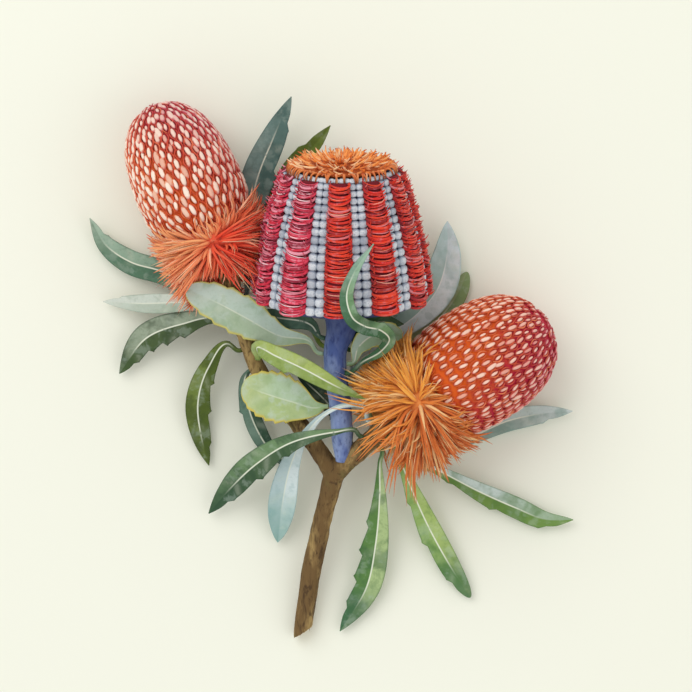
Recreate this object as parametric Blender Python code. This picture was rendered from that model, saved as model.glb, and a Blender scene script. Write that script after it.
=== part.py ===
"""A cut banksia branch with three flower heads, lying on its side. Metres, +Z up.

The origin is under the middle of the branch's outline, on the surface that it lies on. +Y runs from
the cut end of the stem towards the heads. Lengths in this file are millimetres and angles degrees;
mesh_object turns them into metres.
"""

import math
import random
from dataclasses import dataclass

import bmesh
import bpy
import numpy as np
from mathutils import Vector
from mathutils.bvhtree import BVHTree

MM = 0.001
GAP = 0.3
UP = np.array([0.0, 0.0, 1.0])
GOLDEN_ANGLE = 180.0 * (3.0 - math.sqrt(5.0))

# Routes of the wood and the stalk: x, y, z and radius at points chosen by hand
STEM_ROUTE = (
    (-14.6, -137.0, 4.2, 4.4),
    (-10.0, -105.0, 9.5, 4.9),
    (-4.0, -77.0, 15.5, 4.7),
    (-0.3, -62.0, 20.0, 4.9),
    (2.5, -50.0, 24.0, 5.5),
)
LEFT_BRANCH_ROUTE = (
    (2.0, -53.0, 23.0, 4.8),
    (-5.5, -41.0, 25.0, 4.4),
    (-21.0, -20.5, 23.0, 4.2),
    (-37.0, 2.0, 24.0, 4.1),
    (-43.5, 20.0, 29.0, 4.1),
    (-47.5, 36.0, 34.5, 4.3),
    (-50.0, 46.1, 37.0, 4.8),
    (-52.05, 50.6, 36.05, 5.6),
)
RIGHT_BRANCH_ROUTE = (
    (2.0, -53.0, 23.0, 5.2),
    (10.0, -44.5, 28.5, 5.0),
    (20.0, -35.5, 35.0, 4.9),
    (28.3, -26.4, 39.6, 5.2),
    (32.2, -24.0, 38.8, 6.0),
)
STALK_ROUTE = (
    (5.5, -49.0, 28.5, 2.0),
    (6.0, -39.0, 32.0, 4.6),
    (5.0, -17.0, 35.0, 5.5),
    (2.5, 0.0, 36.2, 5.7),
    (2.8, 11.0, 36.6, 5.9),
    (5.0, 19.0, 36.2, 7.2),
    (6.0, 25.9, 36.96, 8.8),
    (6.0, 29.79, 38.0, 9.6),
)
WOOD_SIDES = 9
STEM_SLANT = 9.0
STALK_SIDES = 12

# The centre head is a squat truncated cone, whose top leans up towards the viewer
CENTRE_FOOT = (6.0, 36.5, 39.8)
CENTRE_AXIS = (0.0, 0.966, 0.259)
CENTRE_LENGTH = 64.5
CENTRE_FOOT_RADIUS = 45.5
CENTRE_TOP_RADIUS = 31.5
COLUMNS = 11
COLUMN_PITCH = 360.0 / COLUMNS
COLUMN_TURN = -2.2
GREY_INSET = 2.6
GROOVE_INSET = 5.5
GROOVE_HALF = 9.0
BEAD_PLACES = (12.8, 19.9)
SEAM_PLACE = 16.36
BEADS_HIGH = 13
BEAD_DEPTH = 1.3
SEAM_DEPTH = 1.7
RED_LOOPS = 12
RED_LOOP_DEPTH = 1.3
RED_LOOP_SAG = 1.3
CORE_DOME = 1.2
CORE_TOP_RADIUS = 14.0
# The underside of the centre head tapers to the stalk: way and radius
CORE_UNDERSIDE = ((-6.6, 10.0), (-5.2, 28.0))
RED_WAYS = (0.6, CENTRE_LENGTH + 0.2)
RED_ROOT_GAP = 0.55
RED_ROOT_HALF = 7.9
RED_LOOP_HALF = 9.8
RED_PINCH_HALF = 8.9
RED_SHOULDER = 1.9
CROWN_STUBS = 21
# Rings of the crown: its tier, then radius and height on a stub and between two stubs
CROWN_RINGS = (
    (0, (18.0, 0.0), (18.0, 0.0)),
    (0, (24.2, 0.3), (23.2, 0.3)),
    (0, (27.8, 1.9), (24.0, 0.8)),
    (0, (27.6, 3.7), (23.4, 1.5)),
    (0, (23.5, 3.2), (21.0, 1.8)),
    (0, (16.5, 2.6), (16.0, 2.1)),
    (1, (18.4, 4.4), (15.0, 2.9)),
    (1, (17.4, 5.4), (14.0, 3.4)),
    (1, (11.5, 4.6), (10.5, 3.6)),
    (0, (9.0, 5.6), (7.0, 4.2)),
    (0, (3.0, 4.8), (3.0, 4.6)),
)

# Cone-shaped heads: profiles hold the way along the axis and the radius there
LEFT_FOOT = (-57.5, 62.5, 33.5)
LEFT_AXIS = (-32.5, 71.0, -15.2)
LEFT_PROFILE = (
    (8.4, 21.0), (18.0, 25.5), (30.0, 26.8), (45.0, 26.0),
    (58.0, 23.4), (68.0, 18.6), (75.0, 11.5), (78.5, 4.0),
)
RIGHT_FOOT = (42.5, -17.5, 36.6)
RIGHT_AXIS = (67.5, 42.5, -14.4)
RIGHT_PROFILE = (
    (9.4, 23.0), (19.0, 28.0), (32.0, 30.0), (48.0, 29.6),
    (60.0, 26.8), (69.5, 21.6), (76.5, 13.5), (80.0, 4.5),
)
CONE_SIDES = 36
CONE_ROWS = 19
CONE_BUMP = 1.5
CONE_BUMP_FADE = 14.0
# What lies this low on a head is pressed flat by its weight
PRESSED = 1.3

# Fringe styles, from the cone side to the stem side, in degrees off the axis
STYLE_LEAN = 56.0
STYLE_LEAN_SPAN = 84.0
STYLE_LEAN_SPREAD = 6.0
STYLE_RADII = (1.4, 1.2, 0.0)
STYLE_SIDES = 3
STYLE_SUNK = 3.0
STYLE_CLEAR = 0.6
SHORTEST_STYLE = 0.42
BUN_SIDES = 16
BUN_NARROW = 0.45

PETIOLE_HALF = 1.15
PETIOLE_THICK = 2.0
# A leaf's stalk leaves its carrier squarely for this far
PETIOLE_START = 2.5
PETIOLE_SHARE = 0.15
BLADE_THICK = 0.9
BLADE_CUP = 0.18
BLADE_TIP_HALF = 0.55
BLADE_TAPER = 0.8
PLAIN_STATIONS = (0.0, 0.07, 0.18, 0.34, 0.93, 1.0)
TOOTHLESS_STATIONS = (0.62, 0.80)
TEETH_FROM = 0.42
TEETH_SPAN = 0.44
NOTCH_AFTER = 0.028


@dataclass(frozen=True)
class Fringe:
    """The open flowers of a cone-shaped head: the bun they grow on, and their number and reach."""

    name: str
    low: float
    high: float
    radius: float
    count: int
    reach: float
    colour: tuple
    seed: int


LEFT_FRINGE = Fringe("left_head_fringe", -13.0, 8.1, 20.0, 78, 35.0, (0.72, 0.14, 0.04), 11)
RIGHT_FRINGE = Fringe("right_head_fringe", -12.0, 9.1, 22.0, 88, 39.0, (0.78, 0.28, 0.05), 23)


@dataclass(frozen=True)
class Leaf:
    """One leaf: what it grows on, the route of its midrib past its root, and its edge."""

    name: str
    carrier: str
    share: float
    route: tuple
    half_width: float
    left_teeth: int = 0
    right_teeth: int = 3
    tooth: float = 0.16
    widest: float = 0.55
    # How fast the blade narrows beyond its widest place: a lower number gives a blunter tip
    taper: float = 0.8
    colour: tuple = (0.10, 0.22, 0.09)


OLIVE = (0.13, 0.22, 0.06)
GREEN = (0.12, 0.27, 0.08)
DARK = (0.05, 0.13, 0.06)
BLUE_GREEN = (0.12, 0.24, 0.19)
PALE = (0.38, 0.50, 0.44)

LEAVES = (
    Leaf("leaf_blue_top", "left_branch", 0.84,
         ((-41.0, 47.0, 24.0), (-38.5, 60.0, 13.0), (-40.5, 77.0, 10.0), (-37.5, 94.0, 12.0),
          (-28.5, 117.0, 20.0), (-19.5, 137.3, 24.0)),
         8.2, 0, 3, widest=0.60, colour=BLUE_GREEN),
    Leaf("leaf_olive_top", "stalk", 0.76,
         ((-9.0, 20.0, 24.0), (-24.0, 33.0, 9.0), (-30.5, 52.0, 4.5), (-29.5, 78.0, 5.0),
          (-19.0, 100.0, 13.0), (-8.0, 113.0, 22.0), (0.0, 122.5, 28.0)),
         5.8, 2, 2, widest=0.74, colour=OLIVE),
    Leaf("leaf_curling_left", "left_branch", 0.90,
         ((-61.0, 40.0, 28.0), (-75.0, 44.5, 14.0), (-86.0, 50.0, 8.0), (-101.0, 54.5, 6.0),
          (-113.5, 63.0, 6.5), (-121.5, 76.5, 10.0)),
         6.6, 0, 2, colour=BLUE_GREEN),
    Leaf("leaf_pale_left", "left_branch", 0.83,
         ((-59.0, 33.5, 30.0), (-74.0, 34.0, 21.0), (-95.0, 33.5, 10.5), (-115.0, 34.5, 5.0)),
         5.2, 0, 2, colour=PALE),
    Leaf("leaf_olive_left", "left_branch", 0.74,
         ((-56.0, 25.0, 25.0), (-75.0, 23.0, 14.5), (-93.0, 16.0, 8.5), (-106.8, -2.0, 4.5)),
         7.4, 4, 0, widest=0.60, colour=OLIVE),
    Leaf("leaf_hanging_left", "left_branch", 0.64,
         ((-51.0, 13.0, 21.0), (-61.5, 1.0, 14.0), (-67.0, -18.0, 8.0), (-65.5, -33.0, 5.0),
          (-61.5, -48.5, 3.5)),
         6.2, 3, 0, widest=0.60, colour=OLIVE),
    Leaf("leaf_broad_upper", "stalk", 0.72,
         ((-10.0, 14.0, 32.0), (-25.0, 17.0, 31.0), (-41.0, 25.5, 38.5), (-57.0, 34.0, 44.0),
          (-71.5, 40.5, 45.5)),
         10.2, 5, 5, tooth=0.07, widest=0.66, taper=0.42, colour=PALE),
    Leaf("leaf_green_across", "left_branch", 0.60,
         ((-36.5, 11.0, 35.5), (-27.0, 7.0, 43.0), (-12.0, 0.0, 48.0), (4.0, -8.5, 48.5),
          (17.5, -14.5, 49.5)),
         5.4, 0, 2, widest=0.45, colour=GREEN),
    Leaf("leaf_dark_hanging", "left_branch", 0.55,
         ((-43.0, -4.0, 14.0), (-41.0, -20.0, 11.0), (-34.5, -35.0, 8.0), (-23.5, -49.0, 5.0)),
         4.8, 0, 2, colour=DARK),
    Leaf("leaf_broad_lower", "stalk", 0.40,
         ((-7.0, -19.0, 32.5), (-19.0, -16.0, 31.5), (-32.0, -12.0, 31.5), (-44.0, -7.5, 32.0)),
         12.6, 5, 5, tooth=0.06, widest=0.60, taper=0.45, colour=PALE),
    Leaf("leaf_dark_behind", "right_branch", 0.36,
         ((9.0, -30.0, 20.5), (-2.0, -16.0, 17.5), (-17.0, -2.0, 17.5)),
         4.6, 2, 2, colour=DARK),
    Leaf("leaf_long_lower", "right_branch", 0.62,
         ((12.5, -30.0, 44.0), (2.0, -31.0, 45.5), (-16.0, -35.0, 43.5), (-36.0, -46.5, 27.0),
          (-50.0, -59.5, 12.5), (-61.5, -72.8, 5.0)),
         7.0, 3, 0, widest=0.66, colour=GREEN),
    Leaf("leaf_pale_lower", "right_branch", 0.80,
         ((18.0, -19.0, 45.0), (6.5, -17.8, 44.0), (-4.0, -23.0, 40.5), (-13.0, -33.5, 36.0),
          (-19.5, -47.0, 26.0), (-24.0, -67.0, 14.0), (-26.6, -87.4, 4.5)),
         7.2, 1, 0, widest=0.78, colour=PALE),
    Leaf("leaf_hanging_centre", "right_branch", 0.60,
         ((25.0, -47.0, 26.0), (25.0, -62.0, 19.0), (23.0, -88.0, 11.0), (18.5, -110.0, 5.5),
          (5.0, -132.5, 3.5)),
         7.2, 0, 4, widest=0.66, colour=GREEN),
    Leaf("leaf_hanging_right", "right_branch", 0.74,
         ((35.5, -46.0, 23.0), (41.0, -60.0, 15.0), (49.5, -79.0, 9.0), (60.5, -99.0, 5.0),
          (71.0, -115.5, 3.5)),
         5.9, 0, 3, widest=0.66, taper=0.5, colour=GREEN),
    Leaf("leaf_right_low", "right_branch", 0.82,
         ((40.0, -44.0, 34.0), (56.0, -51.5, 14.0), (75.0, -61.5, 6.5), (94.0, -70.0, 5.0),
          (109.5, -76.0, 4.5), (123.0, -76.0, 6.0)),
         5.6, 0, 3, widest=0.72, colour=GREEN),
    Leaf("leaf_right_small", "right_branch", 0.94,
         ((43.0, -36.0, 15.0), (60.0, -38.5, 4.5), (74.0, -33.0, 3.5), (90.0, -26.0, 3.5),
          (106.0, -22.5, 5.0), (122.5, -21.0, 8.0)),
         5.4, 0, 2, widest=0.72, colour=BLUE_GREEN),
    Leaf("leaf_pale_behind", "stalk", 0.55,
         ((13.0, 5.0, 24.0), (28.0, 16.5, 11.0), (44.5, 28.5, 8.0), (54.5, 41.0, 7.5),
          (58.8, 56.0, 9.0), (59.3, 75.0, 12.0)),
         8.8, 0, 0, widest=0.70, colour=PALE),
    Leaf("leaf_olive_behind", "right_branch", 0.76,
         ((18.0, -15.0, 25.0), (25.0, 1.0, 9.0), (42.0, 14.0, 4.0), (58.0, 29.0, 3.2),
          (65.5, 40.0, 3.4), (69.5, 49.5, 4.0)),
         5.8, 1, 1, widest=0.76, taper=0.5, colour=OLIVE),
    Leaf("leaf_curled_front", "stalk", 0.60,
         ((15.5, 3.5, 44.0), (25.0, 9.0, 51.0), (29.5, 15.0, 59.0), (25.5, 19.5, 68.5),
          (17.0, 21.8, 78.5), (10.5, 27.0, 88.5), (8.3, 36.0, 92.0), (12.0, 48.0, 93.6),
          (21.5, 62.0, 94.0)),
         4.2, 0, 1, widest=0.55, colour=GREEN),
    Leaf("leaf_broad_right", "stalk", 0.66,
         ((14.0, 11.0, 37.0), (21.0, 17.0, 36.5), (29.0, 18.5, 34.5), (36.5, 17.0, 33.0)),
         6.2, 3, 3, tooth=0.08, widest=0.62, taper=0.5, colour=PALE),
    Leaf("leaf_dark_left", "stalk", 0.80,
         ((-9.0, 22.0, 30.5), (-25.0, 26.0, 24.0), (-40.0, 28.0, 20.0)),
         4.8, 0, 2, colour=DARK),
    Leaf("leaf_dark_right", "stalk", 0.77,
         ((16.0, 20.0, 29.5), (25.0, 24.0, 24.0), (37.0, 23.0, 20.0)),
         4.4, 0, 2, colour=DARK),
)


def unit(vector):
    """The vector at a length of one."""
    vector = np.asarray(vector, float)
    return vector / np.linalg.norm(vector)


class Route:
    """A smooth curve through points chosen by hand, read by the share of its length."""

    SAMPLES = 24

    def __init__(self, points):
        points = np.array(points, float)
        chords = np.linalg.norm(np.diff(points[:, :3], axis=0), axis=1)
        slopes = np.diff(points, axis=0) / chords[:, None]
        inner = [(slopes[i] * chords[i + 1] + slopes[i + 1] * chords[i]) / (chords[i] + chords[i + 1])
                 for i in range(len(slopes) - 1)]
        slopes = np.vstack([slopes[0], *inner, slopes[-1]])
        bits = []
        for i, chord in enumerate(chords):
            for t in np.linspace(0.0, 1.0, self.SAMPLES, endpoint=False):
                bits.append((2 * t**3 - 3 * t**2 + 1) * points[i] + (3 * t**2 - 2 * t**3) * points[i + 1]
                            + chord * ((t**3 - 2 * t**2 + t) * slopes[i] + (t**3 - t**2) * slopes[i + 1]))
        bits.append(points[-1])
        self.dense = np.array(bits)
        steps = np.linalg.norm(np.diff(self.dense[:, :3], axis=0), axis=1)
        self.length = float(steps.sum())
        self.shares = np.concatenate([[0.0], np.cumsum(steps)]) / self.length

    def at(self, share):
        """The point at a share of the length, with any further values that the points hold."""
        return np.array([np.interp(share, self.shares, column) for column in self.dense.T])

    def tangent(self, share):
        """The unit direction of the curve at a share of its length."""
        low, high = max(share - 0.004, 0.0), min(share + 0.004, 1.0)
        return unit(self.at(high)[:3] - self.at(low)[:3])


def across(tangent):
    """The sideways and outward unit vectors of a cut across a route."""
    side = unit(np.cross(tangent, UP))
    return side, np.cross(side, tangent)


def material(name, colour, roughness):
    """A plain material in one colour."""
    made = bpy.data.materials.get(name) or bpy.data.materials.new(name)
    made.use_nodes = True
    shader = made.node_tree.nodes["Principled BSDF"]
    shader.inputs["Base Color"].default_value = (*colour, 1.0)
    shader.inputs["Roughness"].default_value = roughness
    shader.inputs["Metallic"].default_value = 0.0
    return made


def mesh_object(name, points, faces, finish):
    """An object with a closed mesh made from points in millimetres, its faces turned outwards."""
    mesh = bpy.data.meshes.new(name)
    mesh.from_pydata([tuple(point) for point in np.asarray(points, float) * MM], [], faces)
    work = bmesh.new()
    work.from_mesh(mesh)
    bmesh.ops.recalc_face_normals(work, faces=work.faces)
    work.to_mesh(mesh)
    work.free()
    mesh.materials.append(finish)
    made = bpy.data.objects.new(name, mesh)
    bpy.context.scene.collection.objects.link(made)
    return made


def shade(made, angle=40.0):
    """Smooth shading with sharp edges kept above the angle."""
    made.data.shade_smooth()
    made.data.set_sharp_from_angle(angle=math.radians(angle))
    return made


def rings_to_faces(rings, sides, chequered=False):
    """Triangles between rings of points that are listed one after the other, ends closed.

    On chequered rings, where every other point stands up, the triangles join the low points.
    """
    faces = []
    for ring in range(rings - 1):
        for side in range(sides):
            a = ring * sides + side
            b = ring * sides + (side + 1) % sides
            if chequered and (ring + side) % 2 == 0:
                faces += [(a, b, a + sides), (b, b + sides, a + sides)]
            else:
                faces += [(a, b, b + sides), (a, b + sides, a + sides)]
    last = (rings - 1) * sides
    for side in range(1, sides - 1):
        faces.append((0, side + 1, side))
        faces.append((last, last + side, last + side + 1))
    return faces


def tube(name, route, rings, sides, finish, slant=0.0):
    """A closed tube along a route that holds its own radii. A slant cuts its first end obliquely."""
    points = []
    for share in np.linspace(0.0, 1.0, rings):
        x, y, z, radius = route.at(share)
        tangent = route.tangent(share)
        side, out = across(tangent)
        for step in range(sides):
            turn = 2.0 * math.pi * (step + 0.5) / sides
            point = np.array([x, y, z]) + radius * (side * math.sin(turn) - out * math.cos(turn))
            if share == 0.0:
                point += tangent * slant * 0.5 * (1.0 + math.sin(turn))
            point[2] = max(point[2], 0.0)
            points.append(point)
    return mesh_object(name, points, rings_to_faces(rings, sides), finish)


def boolean(target, operation, other=None, group=None):
    """One Boolean on the target, applied, with what it used then removed."""
    step = target.modifiers.new(operation.lower(), "BOOLEAN")
    step.operation = operation
    step.solver = "EXACT"
    if group is None:
        step.object = other
    else:
        step.operand_type = "COLLECTION"
        step.collection = group
    graph = bpy.context.evaluated_depsgraph_get()
    joined = bpy.data.meshes.new_from_object(target.evaluated_get(graph))
    target.modifiers.clear()
    target.data = joined
    used = [other] if group is None else list(group.objects)
    for spent in used:
        bpy.data.objects.remove(spent)
    if group is not None:
        bpy.data.collections.remove(group)
    return target


def joined(target, pieces):
    """The target with every piece fused to it, in one union on a collection."""
    group = bpy.data.collections.new(target.name + "_repeats")
    bpy.context.scene.collection.children.link(group)
    for piece in pieces:
        bpy.context.scene.collection.objects.unlink(piece)
        group.objects.link(piece)
    return boolean(target, "UNION", group=group)


def tree_of(made):
    """A search tree of an object's mesh, in millimetres."""
    points = [vertex.co / MM for vertex in made.data.vertices]
    return BVHTree.FromPolygons(points, [tuple(face.vertices) for face in made.data.polygons])


class Axis:
    """A head's own directions: along its axis, to the viewer's right, and towards the viewer."""

    def __init__(self, foot, along):
        self.foot = np.array(foot, float)
        self.along = unit(along)
        self.right = unit(np.cross(self.along, UP))
        self.front = np.cross(self.right, self.along)

    def point(self, way, radius, turn):
        """The place at a way along the axis and a radius, turned from the front to the right."""
        turn = math.radians(turn)
        return (self.foot + self.along * way
                + radius * (self.front * math.cos(turn) + self.right * math.sin(turn)))


def build_wood(routes):
    """The brown stem with its two branches, one piece of wood."""
    bark = material("bark", (0.16, 0.10, 0.055), 0.9)
    stem = tube("stem_wood", routes["stem"], 10, WOOD_SIDES, bark, slant=STEM_SLANT)
    branches = [tube("left", routes["left_branch"], 14, WOOD_SIDES, bark),
                tube("right", routes["right_branch"], 9, WOOD_SIDES, bark)]
    return shade(joined(stem, branches))


def build_stalk(routes, wood):
    """The blue-grey stalk of the centre head, cut to sit in the fork of the wood."""
    skin = material("stalk_skin", (0.13, 0.17, 0.30), 0.75)
    stalk = tube("centre_stalk", routes["stalk"], 11, STALK_SIDES, skin)
    cutter = wood.copy()
    cutter.data = wood.data.copy()
    bpy.context.scene.collection.objects.link(cutter)
    for vertex in cutter.data.vertices:
        vertex.co += vertex.normal * GAP * MM
    return shade(boolean(stalk, "DIFFERENCE", other=cutter))


def centre_radius(way):
    """The outer radius of the centre head, over its red columns."""
    share = min(max(way / CENTRE_LENGTH, 0.0), 1.0)
    bulge = 1.6 * math.sin(math.pi * share)
    return CENTRE_FOOT_RADIUS + (CENTRE_TOP_RADIUS - CENTRE_FOOT_RADIUS) * share**1.15 + bulge


def on_the_floor(point):
    """The point, pressed to the floor where it lies low enough."""
    if point[2] < PRESSED:
        point[2] = 0.0
    return point


def build_centre_core(axis):
    """The grey flowers of the centre head: double columns of buds between eleven grooves."""
    finish = material("grey_flowers", (0.42, 0.47, 0.58), 0.8)
    places = (-GROOVE_HALF, GROOVE_HALF, BEAD_PLACES[0], SEAM_PLACE, BEAD_PLACES[1])
    rows = 2 * BEADS_HIGH + 1
    points = []
    for way, radius in CORE_UNDERSIDE:
        for column in range(COLUMNS):
            for place in places:
                turn = COLUMN_TURN + column * COLUMN_PITCH + place
                points.append(on_the_floor(axis.point(way, radius, turn)))
    for row in range(rows):
        way = CENTRE_LENGTH * row / (rows - 1)
        outer = centre_radius(way)
        bud = row % 2 == 1
        depths = (GROOVE_INSET, GROOVE_INSET,
                  GREY_INSET + (0.0 if bud else BEAD_DEPTH),
                  GREY_INSET + SEAM_DEPTH,
                  GREY_INSET + (0.0 if bud else BEAD_DEPTH))
        for column in range(COLUMNS):
            for place, depth in zip(places, depths):
                turn = COLUMN_TURN + column * COLUMN_PITCH + place
                points.append(on_the_floor(axis.point(way, outer - depth, turn)))
    for column in range(COLUMNS):
        for place in places:
            turn = COLUMN_TURN + column * COLUMN_PITCH + place
            points.append(axis.point(CENTRE_LENGTH + CORE_DOME, CORE_TOP_RADIUS, turn))
    sides = COLUMNS * len(places)
    rings = rows + len(CORE_UNDERSIDE) + 1
    return mesh_object("centre_head_flowers", points, rings_to_faces(rings, sides), finish)


def build_red_column(axis, column):
    """One column of looped red styles, rippled across, in its groove of the centre head."""
    # The painting's columns turn from crimson at the left to scarlet at the right
    warmth = 0.5 + 0.5 * math.sin(math.radians(column * COLUMN_PITCH))
    colour = (0.62, 0.03 + 0.05 * warmth, 0.05 - 0.03 * warmth)
    finish = material(f"red_styles_{column:02d}", colour, 0.6)
    middle = COLUMN_TURN + column * COLUMN_PITCH
    rows = 2 * RED_LOOPS + 1
    first, last = RED_WAYS
    points = []
    for row in range(rows):
        way = first + (last - first) * row / (rows - 1)
        floor = centre_radius(way) - GROOVE_INSET + RED_ROOT_GAP
        loop = row % 2 == 1
        outer = centre_radius(way) - (0.0 if loop else RED_LOOP_DEPTH)
        half = RED_LOOP_HALF if loop else RED_PINCH_HALF
        section = ((floor, -RED_ROOT_HALF, 0.0), (outer - RED_SHOULDER, -half, 0.0),
                   (outer, 0.0, -RED_LOOP_SAG),
                   (outer - RED_SHOULDER, half, 0.0), (floor, RED_ROOT_HALF, 0.0))
        for radius, place, sag in section:
            points.append(on_the_floor(axis.point(way + sag, radius, middle + place)))
    return mesh_object(finish.name, points, rings_to_faces(rows, len(section)), finish)


def bent_rod(name, places, radii, sides, finish):
    """A closed rod along a few places, ending in a point where its last radius is zero."""
    points = []
    for index, (place, radius) in enumerate(zip(places, radii)):
        before = places[max(index - 1, 0)]
        after = places[min(index + 1, len(places) - 1)]
        tangent = unit(after - before)
        rough = UP if abs(tangent[2]) < 0.9 else np.array([1.0, 0.0, 0.0])
        side = unit(np.cross(tangent, rough))
        out = np.cross(side, tangent)
        if radius == 0.0:
            points.append(place)
            continue
        for step in range(sides):
            turn = 2.0 * math.pi * step / sides
            points.append(place + radius * (side * math.sin(turn) + out * math.cos(turn)))
    rings = len(places) - (1 if radii[-1] == 0.0 else 0)
    faces = rings_to_faces(rings, sides)
    if radii[-1] == 0.0:
        last = (rings - 1) * sides
        faces = [face for face in faces if min(face) < last]
        tip = len(points) - 1
        faces += [(last + step, last + (step + 1) % sides, tip) for step in range(sides)]
    return mesh_object(name, points, faces, finish)


def build_crown(axis):
    """The curled orange stubs on top of the centre head: three tiers of ridges that end in tips."""
    finish = material("crown_stubs", (0.75, 0.22, 0.03), 0.6)
    base = CENTRE_LENGTH + CORE_DOME + GAP
    points = []
    for tier, ridge, valley in CROWN_RINGS:
        for side in range(2 * CROWN_STUBS):
            radius, height = ridge if (side + tier) % 2 == 0 else valley
            points.append(axis.point(base + height, radius, 180.0 * side / CROWN_STUBS))
    return mesh_object("centre_head_crown", points,
                       rings_to_faces(len(CROWN_RINGS), 2 * CROWN_STUBS), finish)


def profile_radius(profile, way):
    """The radius of a cone-shaped head at a way along its axis, on a smooth curve."""
    ways = [step[0] for step in profile]
    radii = [step[1] for step in profile]
    index = int(np.clip(np.searchsorted(ways, way) - 1, 0, len(ways) - 2))
    slopes = np.gradient(radii, ways)
    span = ways[index + 1] - ways[index]
    t = (way - ways[index]) / span
    return float((2 * t**3 - 3 * t**2 + 1) * radii[index] + (t**3 - 2 * t**2 + t) * span * slopes[index]
                 + (3 * t**2 - 2 * t**3) * radii[index + 1] + (t**3 - t**2) * span * slopes[index + 1])


def build_cone(name, axis, profile, colour):
    """The closed flowers of a cone-shaped head, raised in offset rows like a pine cone's scales."""
    finish = material(name + "_flowers", colour, 0.65)
    first, last = profile[0][0], profile[-1][0]
    points = []
    for row in range(CONE_ROWS):
        # Rows stand closer together towards the rounded tip
        way = first + (last - first) * math.sin(0.5 * math.pi * (row / (CONE_ROWS - 1)) ** 0.86)
        radius = profile_radius(profile, way)
        bump = CONE_BUMP * min(1.0, radius / CONE_BUMP_FADE)
        for side in range(CONE_SIDES):
            raised = (row + side) % 2 == 0
            turn = 360.0 * side / CONE_SIDES
            points.append(on_the_floor(axis.point(way, radius - (0.0 if raised else bump), turn)))
    return mesh_object(name, points, rings_to_faces(CONE_ROWS, CONE_SIDES, True), finish)


def leaf_stations(leaf):
    """The shares of a leaf's length where its outline turns: out to a tooth (1) or in to a notch (-1)."""
    teeth = max(leaf.left_teeth, leaf.right_teeth)
    plain = PLAIN_STATIONS + (TOOTHLESS_STATIONS if teeth < 2 else ())
    shares = {share: (0, 0) for share in plain}
    for tooth in range(teeth):
        share = TEETH_FROM + TEETH_SPAN * tooth / max(teeth - 1, 1)
        on_left = tooth >= teeth - leaf.left_teeth
        on_right = tooth >= teeth - leaf.right_teeth
        shares[share] = (int(on_left), int(on_right))
        shares[share + NOTCH_AFTER] = (-int(on_left), -int(on_right))
    return sorted(shares.items())


def leaf_half(leaf, share):
    """The half width of a leaf's blade at a share of its length, before its teeth."""
    place = min(share ** (math.log(0.5) / math.log(leaf.widest)), 1.0)
    taper = BLADE_TAPER if place < 0.5 else leaf.taper
    blade = math.sin(math.pi * place) ** taper if share < 1.0 else 0.0
    return max(leaf.half_width * blade, PETIOLE_HALF if share < 0.5 else BLADE_TIP_HALF)


def leaf_route(leaf, routes):
    """A leaf's route, with its root set on the surface of what carries it."""
    carrier = routes[leaf.carrier]
    centre = carrier.at(leaf.share)
    along = carrier.tangent(leaf.share)
    towards = np.array(leaf.route[0]) - centre[:3]
    outward = unit(towards - along * np.dot(towards, along))
    root = centre[:3] + outward * (centre[3] + GAP)
    return Route((tuple(root), tuple(root + outward * PETIOLE_START), *leaf.route))


def build_leaf(leaf, routes):
    """One leaf: a channelled blade with a midrib line, a toothed edge and a thick short stalk."""
    finish = material(leaf.name, leaf.colour, 0.55)
    route = leaf_route(leaf, routes)
    points = []
    stations = leaf_stations(leaf)
    for share, (left_tooth, right_tooth) in stations:
        centre = route.at(share)
        side, out = across(route.tangent(share))
        half = leaf_half(leaf, share)
        left = half * (1.0 + leaf.tooth * left_tooth)
        right = half * (1.0 + leaf.tooth * right_tooth)
        thick = BLADE_THICK if share > PETIOLE_SHARE else PETIOLE_THICK
        lift = BLADE_CUP * max(half - PETIOLE_HALF, 0.0)
        for low in (0.0, thick):
            points += [centre - side * left + out * (lift + thick / 2 - low),
                       centre + out * (thick / 2 - low),
                       centre + side * right + out * (lift + thick / 2 - low)]
    faces = []
    for station in range(len(stations) - 1):
        here, there = 6 * station, 6 * (station + 1)
        for face in (0, 3):
            for strip in (0, 1):
                a, b = here + face + strip, here + face + strip + 1
                c, d = there + face + strip, there + face + strip + 1
                faces += [(a, b, d), (a, d, c)] if strip else [(a, b, c), (b, d, c)]
        for edge in (0, 2):
            a, b = here + edge, here + edge + 3
            c, d = there + edge, there + edge + 3
            faces += [(a, b, d), (a, d, c)]
    for end in (0, 6 * (len(stations) - 1)):
        faces += [(end, end + 1, end + 4), (end, end + 4, end + 3),
                  (end + 1, end + 2, end + 5), (end + 1, end + 5, end + 4)]
    return mesh_object(leaf.name, points, faces, finish)


def clear_share(places, radii, trees):
    """How far along a rod its way stays clear of the trees and the floor, as a share."""
    for share in np.linspace(0.1, 1.0, 19):
        along = share * (len(places) - 1)
        index = min(int(along), len(places) - 2)
        part = along - index
        place = places[index] * (1.0 - part) + places[index + 1] * part
        radius = radii[index] * (1.0 - part) + radii[index + 1] * part
        if place[2] < radius + STYLE_CLEAR:
            return share - 0.1
        for tree in trees:
            distance = tree.find_nearest(Vector(place))[3]
            if distance is not None and distance < radius + STYLE_CLEAR:
                return share - 0.1
    return 1.0


def build_bun(fringe, axis, finish):
    """The rounded core that the styles of a fringe grow out of, and its radius along the axis."""
    low, high = fringe.low, fringe.high
    rows = ((low, BUN_NARROW), (low + 4.0, 0.80), (0.5 * (low + high), 1.0),
            (high - 2.0, 0.94), (high, 0.84))
    points = []
    for way, part in rows:
        points += [axis.point(way, fringe.radius * part, 360.0 * step / BUN_SIDES)
                   for step in range(BUN_SIDES)]
    made = mesh_object(fringe.name, points, rings_to_faces(len(rows), BUN_SIDES), finish)
    return made, [row[0] for row in rows], [fringe.radius * row[1] for row in rows]


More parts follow.
